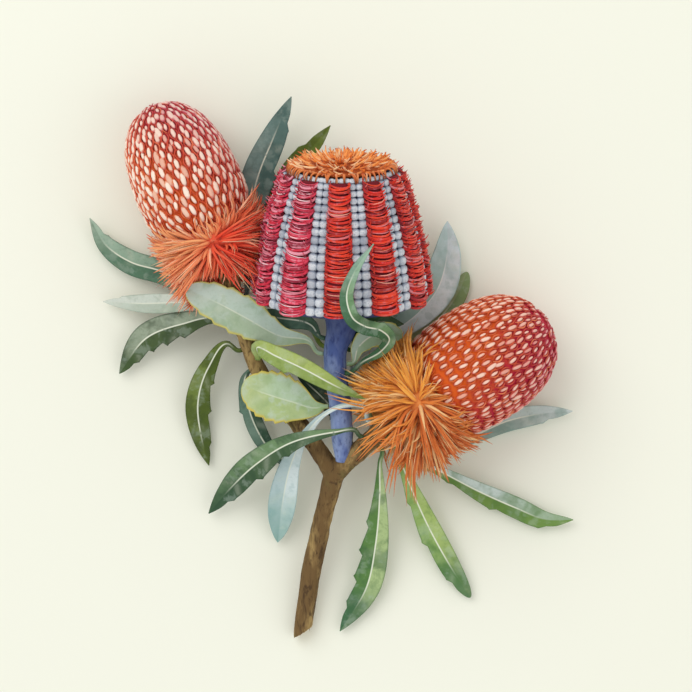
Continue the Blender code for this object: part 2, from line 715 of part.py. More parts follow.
def shortened(places, share):
    """The first share of a rod along three places, again as three places."""
    root, middle, tip = places
    if share <= 0.5:
        end = root + (middle - root) * 2.0 * share
        return [root, 0.5 * (root + end), end]
    return [root, middle, middle + (tip - middle) * (2.0 * share - 1.0)]


def build_fringe(fringe, axis, trees):
    """The open flowers at the foot of a cone-shaped head: long styles out of a bun-shaped core."""
    draw = random.Random(fringe.seed)
    finish = material(fringe.name + "_styles", fringe.colour, 0.6)
    core, row_ways, row_radii = build_bun(fringe, axis, finish)
    styles = []
    for index in range(fringe.count):
        turn = index * GOLDEN_ANGLE
        place = (index + 0.5) / fringe.count
        way = fringe.high - 1.6 - (fringe.high - fringe.low - 4.0) * place
        spread = draw.uniform(-STYLE_LEAN_SPREAD, STYLE_LEAN_SPREAD)
        lean = math.radians(STYLE_LEAN + STYLE_LEAN_SPAN * place + spread)
        start = float(np.interp(way, row_ways, row_radii)) - STYLE_SUNK
        length = (fringe.reach - start * math.sin(lean)) * draw.uniform(0.88, 1.1)
        root = axis.point(way, start, turn)
        outward = unit(axis.point(0.0, 1.0, turn) - axis.foot)
        straight = outward * math.sin(lean) + axis.along * math.cos(lean)
        forward = 0.15 + 0.9 * (1.0 - place) ** 1.5
        bent = unit(straight + axis.along * forward + UP * draw.uniform(-0.1, 0.1))
        middle = root + straight * length * 0.5
        places = [root, middle, middle + bent * length * 0.5]
        share = clear_share(places, STYLE_RADII, trees)
        if share < SHORTEST_STYLE:
            continue
        if share < 1.0:
            places = shortened(places, share)
        styles.append(bent_rod("style", places, STYLE_RADII, STYLE_SIDES, finish))
    return joined(core, styles)


def main():
    """Clears the scene and models the branch, one object for each piece."""
    for old in list(bpy.data.objects):
        bpy.data.objects.remove(old)
    routes = {
        "stem": Route(STEM_ROUTE),
        "left_branch": Route(LEFT_BRANCH_ROUTE),
        "right_branch": Route(RIGHT_BRANCH_ROUTE),
        "stalk": Route(STALK_ROUTE),
    }
    centre = Axis(CENTRE_FOOT, CENTRE_AXIS)
    left = Axis(LEFT_FOOT, LEFT_AXIS)
    right = Axis(RIGHT_FOOT, RIGHT_AXIS)
    wood = build_wood(routes)
    solids = [wood, build_stalk(routes, wood), build_centre_core(centre), build_crown(centre)]
    solids += [build_red_column(centre, column) for column in range(COLUMNS)]
    solids.append(build_cone("left_head_cone", left, LEFT_PROFILE, (0.75, 0.30, 0.22)))
    solids.append(build_cone("right_head_cone", right, RIGHT_PROFILE, (0.75, 0.22, 0.16)))
    solids += [build_leaf(leaf, routes) for leaf in LEAVES]
    trees = [tree_of(solid) for solid in solids]
    trees.append(tree_of(build_fringe(LEFT_FRINGE, left, trees)))
    build_fringe(RIGHT_FRINGE, right, trees)


main()
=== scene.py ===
"""Looks of a cut banksia branch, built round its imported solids. Lengths are millimetres in this file.

The branch lies on a pale floor and the camera looks straight down on it. Each class builds one kind
of piece: the wood, the stalk, the striped head, the two cone-shaped heads and the leaves.
"""
import logging
import math
import random
from dataclasses import dataclass, field
from enum import Enum
from typing import Any

import bmesh
import bpy
import numpy as np
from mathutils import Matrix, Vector, noise
from mathutils.bvhtree import BVHTree


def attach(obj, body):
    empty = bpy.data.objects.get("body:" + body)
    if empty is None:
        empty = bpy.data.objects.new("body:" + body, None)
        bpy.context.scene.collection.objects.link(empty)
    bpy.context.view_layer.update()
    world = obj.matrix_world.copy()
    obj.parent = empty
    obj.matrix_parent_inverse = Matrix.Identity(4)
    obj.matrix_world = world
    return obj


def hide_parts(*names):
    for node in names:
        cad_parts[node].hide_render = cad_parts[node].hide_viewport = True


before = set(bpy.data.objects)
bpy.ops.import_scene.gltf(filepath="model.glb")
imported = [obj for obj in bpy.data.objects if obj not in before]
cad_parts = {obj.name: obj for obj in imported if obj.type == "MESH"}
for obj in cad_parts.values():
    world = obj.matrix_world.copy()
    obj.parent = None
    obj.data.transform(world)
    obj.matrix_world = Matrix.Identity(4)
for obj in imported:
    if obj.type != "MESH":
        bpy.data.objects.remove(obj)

Vec = np.ndarray
Object = bpy.types.Object
Material = bpy.types.Material
Socket = bpy.types.NodeSocket

LOG = logging.getLogger("banksia")
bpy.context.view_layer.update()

# A millimetre in metres, the gap between a piece and what carries it, the turn between tufts, and up
MM = 0.001
GAP = 0.3
GOLDEN_ANGLE = 180.0 * (3.0 - math.sqrt(5.0))
UP = np.array([0.0, 0.0, 1.0])


class Slot(Enum):
    """The record's material slots."""

    BARK = "bark"
    STALK = "stalk_skin"
    GREY = "grey_flowers"
    RED = "red_styles"
    CROWN = "crown_stubs"
    LEFT_CONE = "left_cone_flowers"
    RIGHT_CONE = "right_cone_flowers"
    LEFT_FRINGE = "left_fringe_styles"
    RIGHT_FRINGE = "right_fringe_styles"
    LEAF_BLUE = "leaf_blue_green"
    LEAF_OLIVE = "leaf_olive"
    LEAF_GREEN = "leaf_green"
    LEAF_DARK = "leaf_dark"
    LEAF_PALE = "leaf_pale"


def unit(vector: Vec) -> Vec:
    """The vector at a length of one."""
    vector = np.asarray(vector, float)
    return vector / np.linalg.norm(vector)


def fade(low: float, high: float, value: float | Vec) -> float | Vec:
    """Runs smoothly from 0 at low to 1 at high.

    Args:
        low: where the result is still 0.
        high: where it has reached 1.
        value: one number or an array of them.

    Returns:
        A share from 0 to 1 for each value.
    """
    share = np.clip((value - low) / (high - low), 0.0, 1.0)
    return share * share * (3.0 - 2.0 * share)


def linear(code: str) -> tuple[float, float, float, float]:
    """The linear colour of a hex code such as "#C8D2A0"."""
    parts = [int(code[place:place + 2], 16) / 255.0 for place in (1, 3, 5)]
    return (*[((part + 0.055) / 1.055) ** 2.4 if part > 0.04045 else part / 12.92 for part in parts],
            1.0)


def raised(points: Vec, lowest: float) -> Vec:
    """The points, with those that are lower than a height brought up to it."""
    points[..., 2] = np.maximum(points[..., 2], lowest)
    return points


def stray(draw: random.Random, most: float) -> float:
    """A random step of up to most, either way."""
    return draw.uniform(-most, most)


def cubic(t: float, chord: float, ends: Any, slopes: Any) -> Any:
    """A place on the smooth curve between two ends.

    Args:
        t: how far along it lies, from 0 to 1.
        chord: the distance from end to end.
        ends: the values at both ends.
        slopes: how fast they change at both ends.

    Returns:
        The value there, a number or an array as the ends are.
    """
    return ((2 * t**3 - 3 * t**2 + 1) * ends[0] + (3 * t**2 - 2 * t**3) * ends[1]
            + chord * ((t**3 - 2 * t**2 + t) * slopes[0] + (t**3 - t**2) * slopes[1]))


class Route:
    """A smooth curve through given points, read by the share of its length."""

    SAMPLES = 24
    NEAR = 0.004

    def __init__(self, points: tuple) -> None:
        """Joins the points, which may hold further values after x, y and z."""
        places = np.array(points, float)
        chords = np.linalg.norm(np.diff(places[:, :3], axis=0), axis=1)
        slopes = np.diff(places, axis=0) / chords[:, None]
        inner = [(slopes[i] * chords[i + 1] + slopes[i + 1] * chords[i]) / (chords[i] + chords[i + 1])
                 for i in range(len(slopes) - 1)]
        slopes = np.vstack([slopes[0], *inner, slopes[-1]])
        bits = [cubic(t, chord, places[i:i + 2], slopes[i:i + 2]) for i, chord in enumerate(chords)
                for t in np.linspace(0.0, 1.0, self.SAMPLES, endpoint=False)]
        self.dense = np.array([*bits, places[-1]])
        steps = np.linalg.norm(np.diff(self.dense[:, :3], axis=0), axis=1)
        self.length = float(steps.sum())
        self.shares = np.concatenate([[0.0], np.cumsum(steps)]) / self.length

    def at(self, share: float) -> Vec:
        """The point at a share of the length, with any further values that the points hold."""
        return np.array([np.interp(share, self.shares, column) for column in self.dense.T])

    def tangent(self, share: float) -> Vec:
        """The unit direction of the curve at a share of its length."""
        low, high = max(share - self.NEAR, 0.0), min(share + self.NEAR, 1.0)
        return unit(self.at(high)[:3] - self.at(low)[:3])

    def across(self, share: float) -> tuple[Vec, Vec]:
        """The sideways and outward unit vectors of a cut across the curve."""
        tangent = self.tangent(share)
        side = unit(np.cross(tangent, UP))
        return side, np.cross(side, tangent)


class Axis:
    """A head's own directions: along its axis, to the viewer's right, and towards the viewer."""

    def __init__(self, foot: tuple, along: tuple) -> None:
        """Starts at the head's foot, in millimetres."""
        self.foot = np.array(foot, float)
        self.along = unit(np.array(along, float))
        self.right = unit(np.cross(self.along, UP))
        self.front = np.cross(self.right, self.along)

    def outward(self, turn: float) -> Vec:
        """The unit vector out of the axis, turned by degrees from the front to the right."""
        turn = math.radians(turn)
        return self.front * math.cos(turn) + self.right * math.sin(turn)

    def point(self, way: float, radius: float, turn: float) -> Vec:
        """The place at a way along the axis and a radius, turned from the front to the right."""
        return self.foot + self.along * way + radius * self.outward(turn)

    def lathe(self, profile: list[tuple], around: int, lowest: float = 0.0) -> Vec:
        """Rings of points round the axis.

        Args:
            profile: the way along the axis and the radius of each ring.
            around: how many points a ring has.
            lowest: the least height of a point, in millimetres.

        Returns:
            The points, rings by points by 3.
        """
        turns = np.linspace(0, 360, around, False)
        return raised(np.array([[self.point(way, radius, turn) for turn in turns]
                                for way, radius in profile]), lowest)


class Signal:
    """A number in a node tree, written as plain arithmetic."""

    def __init__(self, wiring: "Wiring", socket: Socket) -> None:
        """Wraps an output socket of the wiring's tree."""
        self.wiring = wiring
        self.socket = socket

    def maths(self, operation: str, *values: Any) -> "Signal":
        """One Math node on the values."""
        made = self.wiring.node("ShaderNodeMath", {"operation": operation}, dict(enumerate(values)))
        return Signal(self.wiring, made.outputs[0])

    def __add__(self, other: Any) -> "Signal":
        """Self plus the other."""
        return self.maths("ADD", self, other)

    def __sub__(self, other: Any) -> "Signal":
        """Self less the other."""
        return self.maths("SUBTRACT", self, other)

    def __rsub__(self, other: Any) -> "Signal":
        """The other less self."""
        return self.maths("SUBTRACT", other, self)

    def __mul__(self, other: Any) -> "Signal":
        """Self times the other."""
        return self.maths("MULTIPLY", self, other)

    def __truediv__(self, other: Any) -> "Signal":
        """Self over the other."""
        return self.maths("DIVIDE", self, other)

    def __pow__(self, other: Any) -> "Signal":
        """Self to the power of the other."""
        return self.maths("POWER", self, other)

    def __abs__(self) -> "Signal":
        """Self without its sign."""
        return self.maths("ABSOLUTE", self)

    __radd__ = __add__
    __rmul__ = __mul__

    def sine(self) -> "Signal":
        """The sine of self, in radians."""
        return self.maths("SINE", self)

    def fade(self, low: float, high: float) -> "Signal":
        """Runs smoothly from 0 where self is low to 1 where it is high."""
        made = self.wiring.node("ShaderNodeMapRange", {"interpolation_type": "SMOOTHSTEP"},
                                {0: self, 1: low, 2: high, 3: 0.0, 4: 1.0})
        return Signal(self.wiring, made.outputs[0])


class Wiring:
    """A node tree that is wired by plain calls."""

    def __init__(self, tree: bpy.types.NodeTree) -> None:
        """Wires an existing tree."""
        self.tree = tree

    def node(self, kind: str, settings: dict | None = None,
             inputs: dict | None = None) -> bpy.types.Node:
        """Adds one node.

        Args:
            kind: the node's type.
            settings: its own settings, which are set first.
            inputs: values or links of its sockets, by name or number.

        Returns:
            The node.
        """
        made = self.tree.nodes.new(kind)
        for name, value in (settings or {}).items():
            setattr(made, name, value)
        for key, value in (inputs or {}).items():
            source = value.socket if isinstance(value, Signal) else value
            if isinstance(source, bpy.types.NodeSocket):
                self.tree.links.new(source, made.inputs[key])
            else:
                made.inputs[key].default_value = source
        return made


class Paint(Wiring):
    """A Principled material whose colour, roughness and relief are worked out over the surface."""

    GLOSS = 0.3

    def __init__(self, name: str, roughness: float = 0.6, sheen: float = 0.0) -> None:
        """Makes the material and sets what is the same all over it."""
        self.material = bpy.data.materials.new(name)
        self.material.use_nodes = True
        super().__init__(self.material.node_tree)
        self.shader = self.tree.nodes["Principled BSDF"]
        self.shader.inputs["Roughness"].default_value = roughness
        self.shader.inputs["Specular IOR Level"].default_value = self.GLOSS
        self.shader.inputs["Sheen Weight"].default_value = sheen
        self.place = self.node("ShaderNodeTexCoord").outputs["Object"]

    def value(self, name: str) -> Signal:
        """A value that the mesh holds at its points."""
        return Signal(self, self.node("ShaderNodeAttribute", {"attribute_name": name}).outputs["Fac"])

    def noise(self, size: float, detail: float = 3.0, stretch: tuple = (1.0, 1.0, 1.0),
              distortion: float = 0.0) -> Signal:
        """Cloudy noise over the surface.

        Args:
            size: the width of one cloud, in millimetres.
            detail: how many finer layers it has.
            stretch: how much faster it changes along x, y and z.
            distortion: how far its clouds are drawn out.

        Returns:
            A number from 0 to 1, around 0.5.
        """
        mapped = self.node("ShaderNodeMapping", inputs={"Vector": self.place, "Scale": stretch})
        made = self.node("ShaderNodeTexNoise", inputs={
            "Vector": mapped.outputs[0], "Scale": 1.0 / (size * MM), "Detail": detail,
            "Roughness": 0.6, "Distortion": distortion})
        return Signal(self, made.outputs["Fac"])

    def mix(self, low: Any, high: Any, share: Any) -> Socket:
        """One colour turning into another by a share."""
        made = self.node("ShaderNodeMix", {"data_type": "RGBA"},
                         {0: share, 6: self.colour(low), 7: self.colour(high)})
        return made.outputs[2]

    def layers(self, colour: Any, *layers: tuple[Any, Any]) -> Socket:
        """A colour with others laid over it.

        Args:
            colour: the lowest colour.
            layers: the colour and the share of each layer, from the lowest up.

        Returns:
            The colour that shows.
        """
        for over, share in layers:
            colour = self.mix(colour, over, share)
        return colour

    @staticmethod
    def colour(value: Any) -> Any:
        """A colour socket as it is, or a hex code as a linear colour."""
        return linear(value) if isinstance(value, str) else value

    def finish(self, colour: Any, roughness: Signal | None = None, relief: Signal | None = None,
               depth: float = 0.2) -> Material:
        """Joins the results to the shader.

        Args:
            colour: the base colour's socket.
            roughness: the roughness over the surface.
            relief: the height over the surface, from 0 to 1.
            depth: the height of the relief, in millimetres.

        Returns:
            The finished material.
        """
        self.tree.links.new(colour, self.shader.inputs["Base Color"])
        if roughness is not None:
            self.tree.links.new(roughness.socket, self.shader.inputs["Roughness"])
        if relief is not None:
            bump = self.node("ShaderNodeBump", inputs={"Distance": depth * MM, "Height": relief})
            self.tree.links.new(bump.outputs[0], self.shader.inputs["Normal"])
        return self.material


@dataclass
class MeshPlan:
    """Points in millimetres, faces, edges and named values at the points, gathered for one mesh."""

    points: list = field(default_factory=list)
    faces: list = field(default_factory=list)
    edges: list = field(default_factory=list)
    values: dict = field(default_factory=dict)

    def keep_values(self, shape: tuple, values: dict) -> None:
        """Notes the named values of the points that were just added."""
        for name, value in values.items():
            self.values.setdefault(name, []).append(np.broadcast_to(value, shape).reshape(-1))

    def add_strand(self, path: Vec, thick: Any, **values: Any) -> None:
        """Adds the line of one strand.

        Args:
            path: its points, from root to tip.
            thick: its radius at each point, in millimetres.
            values: named values at the points, each one number or an array.
        """
        start = sum(len(block) for block in self.points)
        self.points.append(path)
        along = np.linspace(0.0, 1.0, len(path))
        self.keep_values((len(path),), {"thick": np.asarray(thick) * MM, "along": along, **values})
        self.edges += [(start + step, start + step + 1) for step in range(len(path) - 1)]

    def add_seat(self, place: Vec, outward: Vec, ahead: Vec, **values: Any) -> None:
        """Adds a point that a small shape will sit on, with its directions."""
        self.points.append(np.asarray(place).reshape(1, 3))
        self.values.setdefault("outward", []).append(np.asarray(outward).reshape(1, 3))
        self.values.setdefault("ahead", []).append(np.asarray(ahead).reshape(1, 3))
        self.keep_values((1,), values)

    def build(self, name: str, finish: Material | None = None) -> Object:
        """Makes the object.

        Args:
            name: the object's name.
            finish: its material, if it has faces.

        Returns:
            A linked object whose closed shells face outwards.
        """
        mesh = bpy.data.meshes.new(name)
        mesh.from_pydata(np.vstack(self.points) * MM, self.edges, self.faces)
        for key, blocks in self.values.items():
            held = np.concatenate(blocks).astype(np.float32)
            kind, slot = ("FLOAT_VECTOR", "vector") if held.ndim == 2 else ("FLOAT", "value")
            mesh.attributes.new(key, kind, "POINT").data.foreach_set(slot, held.ravel())
        if self.faces:
            work = bmesh.new()
            work.from_mesh(mesh)
            bmesh.ops.recalc_face_normals(work, faces=work.faces)
            work.to_mesh(mesh)
            work.free()
            mesh.shade_smooth()
        if finish is not None:
            mesh.materials.append(finish)
        made = bpy.data.objects.new(name, mesh)
        bpy.context.scene.collection.objects.link(made)
        return made


class Growth(Wiring):
    """A geometry tree with named inputs, which ends in plain geometry and a material."""

    KINDS = {int: "NodeSocketInt", float: "NodeSocketFloat", Object: "NodeSocketObject",
             Material: "NodeSocketMaterial"}

    def __init__(self, name: str, knobs: dict[str, Any]) -> None:
        """Makes the tree and its inputs, each given as a default value or a type."""
        super().__init__(bpy.data.node_groups.new(name, "GeometryNodeTree"))
        faces = self.tree.interface
        faces.new_socket("Geometry", in_out="INPUT", socket_type="NodeSocketGeometry")
        faces.new_socket("Geometry", in_out="OUTPUT", socket_type="NodeSocketGeometry")
        self.keys = {}
        for knob, value in {**knobs, "Finish": Material}.items():
            kind = value if isinstance(value, type) else type(value)
            made = faces.new_socket(knob, in_out="INPUT", socket_type=self.KINDS[kind])
            if not isinstance(value, type):
                made.default_value = value
            self.keys[knob] = made.identifier
        self.start = self.node("NodeGroupInput")

    def knob(self, name: str) -> Signal:
        """One of the tree's inputs."""
        return Signal(self, self.start.outputs[name])

    def held(self, name: str, kind: str = "FLOAT") -> Signal:
        """A named value that the incoming mesh holds."""
        made = self.node("GeometryNodeInputNamedAttribute", {"data_type": kind}, {"Name": name})
        return Signal(self, made.outputs["Attribute"])

    def chance(self, low: float, high: float, salt: int) -> Signal:
        """A random number for each element, fixed by the seed.

        Args:
            low: the least that it may be.
            high: the most that it may be.
            salt: a number that makes it differ from the tree's other random numbers.

        Returns:
            The number.
        """
        made = self.node("FunctionNodeRandomValue", inputs={
            2: low, 3: high, "ID": self.node("GeometryNodeInputIndex").outputs[0],
            "Seed": self.knob("Seed") + salt})
        return Signal(self, made.outputs[1])

    def stored(self, geometry: Socket, name: str, value: Signal, domain: str) -> Socket:
        """Keeps a value under a name for the material to read."""
        made = self.node("GeometryNodeStoreNamedAttribute", {"domain": domain},
                         {"Geometry": geometry, "Name": name, "Value": value})
        return made.outputs[0]

    def end(self, geometry: Socket) -> "Growth":
        """Turns what has grown into plain geometry with its material, and closes the tree."""
        smooth = self.node("GeometryNodeSetShadeSmooth", inputs={"Geometry": geometry})
        plain = self.node("GeometryNodeRealizeInstances", inputs={"Geometry": smooth.outputs[0]})
        dressed = self.node("GeometryNodeSetMaterial", inputs={
            "Geometry": plain.outputs[0], "Material": self.knob("Finish")})
        self.node("NodeGroupOutput", inputs={"Geometry": dressed.outputs[0]})
        return self

    def grow(self, plan: MeshPlan, name: str, **knobs: Any) -> Object:
        """Runs the tree on a plan.

        Args:
            plan: the points or lines that it grows on.
            name: the new object's name.
            knobs: values of the tree's inputs, with _ for a space.

        Returns:
            An object with a plain mesh.
        """
        made = plan.build(name)
        step = made.modifiers.new("growth", "NODES")
        step.node_group = self.tree
        for knob, value in knobs.items():
            step[self.keys[knob.replace("_", " ")]] = value
        graph = bpy.context.evaluated_depsgraph_get()
        made.data = bpy.data.meshes.new_from_object(made.evaluated_get(graph))
        made.modifiers.clear()
        return made


def strand_growth() -> Growth:
    """The tree that turns lines into tapered round strands."""
    growth = Growth("strands", {"Sides": 5, "Thickness": 1.0, "Spread": 0.2, "Seed": 1})
    lines = growth.node("GeometryNodeMeshToCurve", inputs={"Mesh": growth.start.outputs["Geometry"]})
    named = growth.stored(lines.outputs[0], "chance", growth.chance(0.0, 1.0, 0), "CURVE")
    spread = 1.0 + growth.knob("Spread") * growth.chance(-1.0, 1.0, 1)
    named = growth.stored(named, "spread", spread, "CURVE")
    ring = growth.node("GeometryNodeCurvePrimitiveCircle", inputs={"Resolution": growth.knob("Sides")})
    strands = growth.node("GeometryNodeCurveToMesh", inputs={
        "Curve": named, "Profile Curve": ring.outputs[0], "Fill Caps": True,
        "Scale": growth.held("thick") * growth.knob("Thickness") * growth.held("spread")})
    return growth.end(strands.outputs[0])


def seat_growth() -> Growth:
    """The tree that sets a small shape on each point, turned to its outward and ahead vectors."""
    growth = Growth("seated_shapes", {"Shape": Object, "Size": 1.0, "Spread": 0.1, "Tilt": 0.05,
                                      "Seed": 1})
    shape = growth.node("GeometryNodeObjectInfo", inputs={"Object": growth.knob("Shape")})
    turned = growth.node("FunctionNodeAxesToRotation", {"primary_axis": "Z", "secondary_axis": "Y"},
                         {"Primary Axis": growth.held("outward", "FLOAT_VECTOR"),
                          "Secondary Axis": growth.held("ahead", "FLOAT_VECTOR")})
    tilt = growth.node("ShaderNodeCombineXYZ", inputs={
        place: growth.knob("Tilt") * growth.chance(-1.0, 1.0, place + 2) for place in range(3)})
    tilted = growth.node("FunctionNodeRotateRotation", {"rotation_space": "LOCAL"},
                         {0: turned.outputs[0], 1: tilt.outputs[0]})
    spread = 1.0 + growth.knob("Spread") * growth.chance(-1.0, 1.0, 1)
    size = growth.knob("Size") * growth.held("size") * spread
    seated = growth.node("GeometryNodeInstanceOnPoints", inputs={
        "Points": growth.start.outputs["Geometry"], "Instance": shape.outputs["Geometry"],
        "Rotation": tilted.outputs[0], "Scale": size})
    named = growth.stored(seated.outputs[0], "chance", growth.chance(0.0, 1.0, 0), "INSTANCE")
    return growth.end(named)


STRANDS = strand_growth()
SEATS = seat_growth()

# The latitude where a pod ends, and the half width of the crease on top of it
POD_POLE = 0.47 * math.pi
CREASE = 0.3


def tube(name: str, grid: Vec, finish: Material | None = None, **values: Any) -> Object:
    """An object that is one closed tube.

    Args:
        name: the object's name.
        grid: its rings of points, rings by points by 3.
        finish: its material, if it has one yet.
        values: named values at the points, each one number or an array like the grid.

    Returns:
        The object.
    """
    rings, sides = grid.shape[:2]
    plan = MeshPlan([grid.reshape(-1, 3)])
    plan.keep_values((rings, sides), values)
    for ring in range(rings - 1):
        for side in range(sides):
            a, b = ring * sides + side, ring * sides + (side + 1) % sides
            plan.faces.append((a, b, b + sides, a + sides))
    plan.faces += [tuple(range(sides))[::-1], tuple(range((rings - 1) * sides, rings * sides))]
    return plan.build(name, finish)


def pod(name: str, wide: float, long: float, high: float, rings: int, sides: int,
        pinch: float = 0.0, square: float = 1.0) -> Object:
    """A small rounded pod to be repeated, lying along y with z outwards.

    Args:
        name: the object's name.
        wide: its half width, in millimetres.
        long: its half length.
        high: its half height.
        rings: how many rings it has from end to end.
        sides: how many points a ring has.
        pinch: how far its top is creased along the middle.
        square: below 1 for a shape that is squarer seen from above.

    Returns:
        The object, which keeps its height as the value "top" and its length as "reach".
    """
    grid = np.zeros((rings, sides, 3))
    for ring, lift in enumerate(np.linspace(-POD_POLE, POD_POLE, rings)):
        around = math.cos(lift) ** square
        for side in range(sides):
            turn = 2.0 * math.pi * side / sides
            x, z = around * math.sin(turn), around * math.cos(turn)
            dent = 1.0 - pinch * math.exp(-((x / CREASE) ** 2)) * max(z, 0.0)
            grid[ring, side] = (wide * x, long * math.sin(lift), high * z * dent)
    return tube(name, grid, top=grid[:, :, 2] / high, reach=grid[:, :, 1] / long)


def joined(name: str, parts: list[Object]) -> Object:
    """One object out of several, which keep their materials and values.

    Args:
        name: the new object's name.
        parts: what it is made of, whose objects are used up.

    Returns:
        The object.
    """
    with bpy.context.temp_override(active_object=parts[0], selected_editable_objects=parts):
        bpy.ops.object.join()
    parts[0].name = name
    parts[0].data.name = name
    return parts[0]


def seat_piece(piece: Object, slot: Slot, *nodes: str) -> Object:
    """Tells the frame what a finished piece rides on and stands for, and logs it."""
    piece.data.name = piece.name
    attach(piece, "root")
    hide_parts(*nodes)
    LOG.info("%s stands for %s: %d faces", piece.name, ", ".join(nodes), len(piece.data.polygons))
    return piece


def solid_trees(names: list[str]) -> list[BVHTree]:
    """Search trees of some of the frame's solids, in metres."""
    trees = []
    for name in names:
        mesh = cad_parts[name].data
        trees.append(BVHTree.FromPolygons([vertex.co for vertex in mesh.vertices],
                                          [tuple(face.vertices) for face in mesh.polygons]))
    return trees


def clear_length(path: Vec, trees: list[BVHTree], covers: list[BVHTree], room: float) -> int:
    """How many points of a path, from its root, stay clear of the solids and the floor.

    Args:
        path: the points, in millimetres.
        trees: the solids to keep clear of.
        covers: the solids that the path may not lie above.
        room: the distance to keep, in millimetres.

    Returns:
        The number of points before the first that comes too close.
    """
    for step in range(2, len(path)):
        if path[step][2] < room:
            return step
        spot = Vector(path[step] * MM)
        if any(tree.find_nearest(spot, room * MM)[0] is not None for tree in trees):
            return step
        if any(tree.ray_cast(spot, Vector((0.0, 0.0, -1.0)))[0] is not None for tree in covers):
            return step
    return len(path)


@dataclass(frozen=True)
class BarkFinish:
    """Brown bark with darker patches, fine cracks and a greenish bloom."""

    light: str = "#A58A58"
    middle: str = "#6E5532"
    dark: str = "#3F2C1A"
    moss: str = "#6F6B3C"
    wood: str = "#C9AF80"

    def material(self) -> Material:
        """Paints the bark. The value "cut" marks the bare wood of the cut end."""
        paint = Paint("bark", roughness=0.85)
        along = (1.0, 0.35, 1.0)
        wash = paint.noise(11.0, 4.0, along)
        patch = paint.noise(5.0, 3.0, along, 1.2)
        crack = paint.noise(1.4, 4.0, (1.0, 0.22, 1.0))
        colour = paint.layers(
            self.middle,
            (self.light, wash.fade(0.42, 0.62)),
            (self.moss, paint.noise(16.0, 2.0).fade(0.56, 0.7) * 0.6),
            (self.dark, patch.fade(0.52, 0.66) * 0.75),
            (self.dark, crack.fade(0.52, 0.7) * 0.6),
            (self.wood, paint.value("cut")))
        return paint.finish(colour, 0.75 + 0.2 * wash, crack * 0.6 + patch * 0.4, 0.5)


@dataclass(frozen=True)
class StalkFinish:
    """Indigo skin under a dusty blue-grey bloom, with painted shade making it darkest where it flares
    under the head.
    """

    bloom: str = "#8A9CC6"
    skin: str = "#5368A4"
    deep: str = "#2F3A6E"

    def material(self) -> Material:
        """Paints the stalk. The value "along" runs from its root to the head."""
        paint = Paint("stalk_skin", roughness=0.7)
        dust = paint.noise(2.2, 5.0, (1.0, 0.5, 1.0))
        wash = paint.noise(10.0, 3.0, (1.0, 0.4, 1.0))
        along = paint.value("along")
        colour = paint.layers(
            self.skin,
            # Painted shade under the head: towards it the bloom thins and the skin darkens.
            (self.bloom, (wash - along * 0.16).fade(0.26, 0.5)),
            (self.deep, dust.fade(0.5, 0.68) * 0.55),
            (self.deep, along.fade(0.66, 0.95) * 0.75))
        return paint.finish(colour, 0.6 + 0.3 * dust, dust, 0.25)


@dataclass(frozen=True)
class BudFinish:
    """Pale downy buds with indigo shadow between them."""

    light: str = "#D9DDE2"
    middle: str = "#97A1B0"
    shade: str = "#3C4563"

    def material(self) -> Material:
        """Paints the buds. "top" is 1 on top of a bud and "reach" runs from end to end."""
        paint = Paint("grey_buds", roughness=0.8, sheen=0.3)
        top = paint.value("top")
        end = abs(paint.value("reach"))
        down = paint.noise(0.9, 3.0)
        wash = paint.noise(5.0, 3.0)
        lit = (top.fade(0.2, 0.9) * (1.1 - end.fade(0.5, 1.0))).fade(0.1, 0.9)
        colour = paint.layers(
            self.shade,
            (self.middle, top.fade(-0.1, 0.45)),
            (self.light, lit * (1.25 - wash).fade(0.4, 0.9)),
            (self.shade, paint.value("chance").fade(0.5, 1.0) * 0.32),
            (self.middle, down.fade(0.46, 0.66) * 0.6))
        return paint.finish(colour, None, down, 0.12)


@dataclass(frozen=True)
class ShadowFinish:
    """The skin that shows between the flowers of a head; on the striped head's core and red columns its
    dark colours are painted shade in the gaps.
    """

    name: str
    colour: str
    other: str

    def material(self) -> Material:
        """Paints the skin in two mottled colours. "warm" shifts it towards the second."""
        paint = Paint(self.name, roughness=0.8)
        spots = paint.noise(2.5, 4.0)
        share = (paint.value("warm") * 1.2 - 0.25 + spots * 0.9).fade(0.25, 0.85)
        return paint.finish(paint.mix(self.colour, self.other, share), None, spots, 0.3)


@dataclass(frozen=True)
class StrandFinish:
    """Wiry styles that change colour from root to tip and from one strand to the next, with a painted
    highlight that can run along their middle.
    """

    name: str
    root: str
    body: str
    other: str
    tip: str
    light: str
    tip_from: float = 0.75
    light_from: float = 0.8
    middle_light: float = 0.0
    dark_share: float = 0.45

    def material(self) -> Material:
        """Paints the strands. "warm" shifts them from body to other over the head."""
        paint = Paint(self.name, roughness=0.55, sheen=0.1)
        along, chance = paint.value("along"), paint.value("chance")
        body = paint.mix(self.body, self.other, paint.value("warm"))
        layers = [(body, along.fade(0.0, 0.4) * 0.8 + 0.2),
                  (self.root, (1.0 - chance.fade(0.1, 0.4)) * self.dark_share),
                  (self.tip, along.fade(self.tip_from, 1.0) * 0.85),
                  (self.light, chance.fade(self.light_from, self.light_from + 0.08) * 0.75)]
        if self.middle_light:
            # A painted highlight: a broken pale streak along the middle of each strand.
            middle = 1.0 - abs(along - 0.5).fade(0.05, 0.3)
            streak = paint.noise(2.4, 2.0).fade(0.5, 0.64)
            layers.append((self.light, middle * streak * self.middle_light))
        return paint.finish(paint.layers(self.root, *layers), 0.4 + 0.3 * paint.noise(0.8, 2.0))


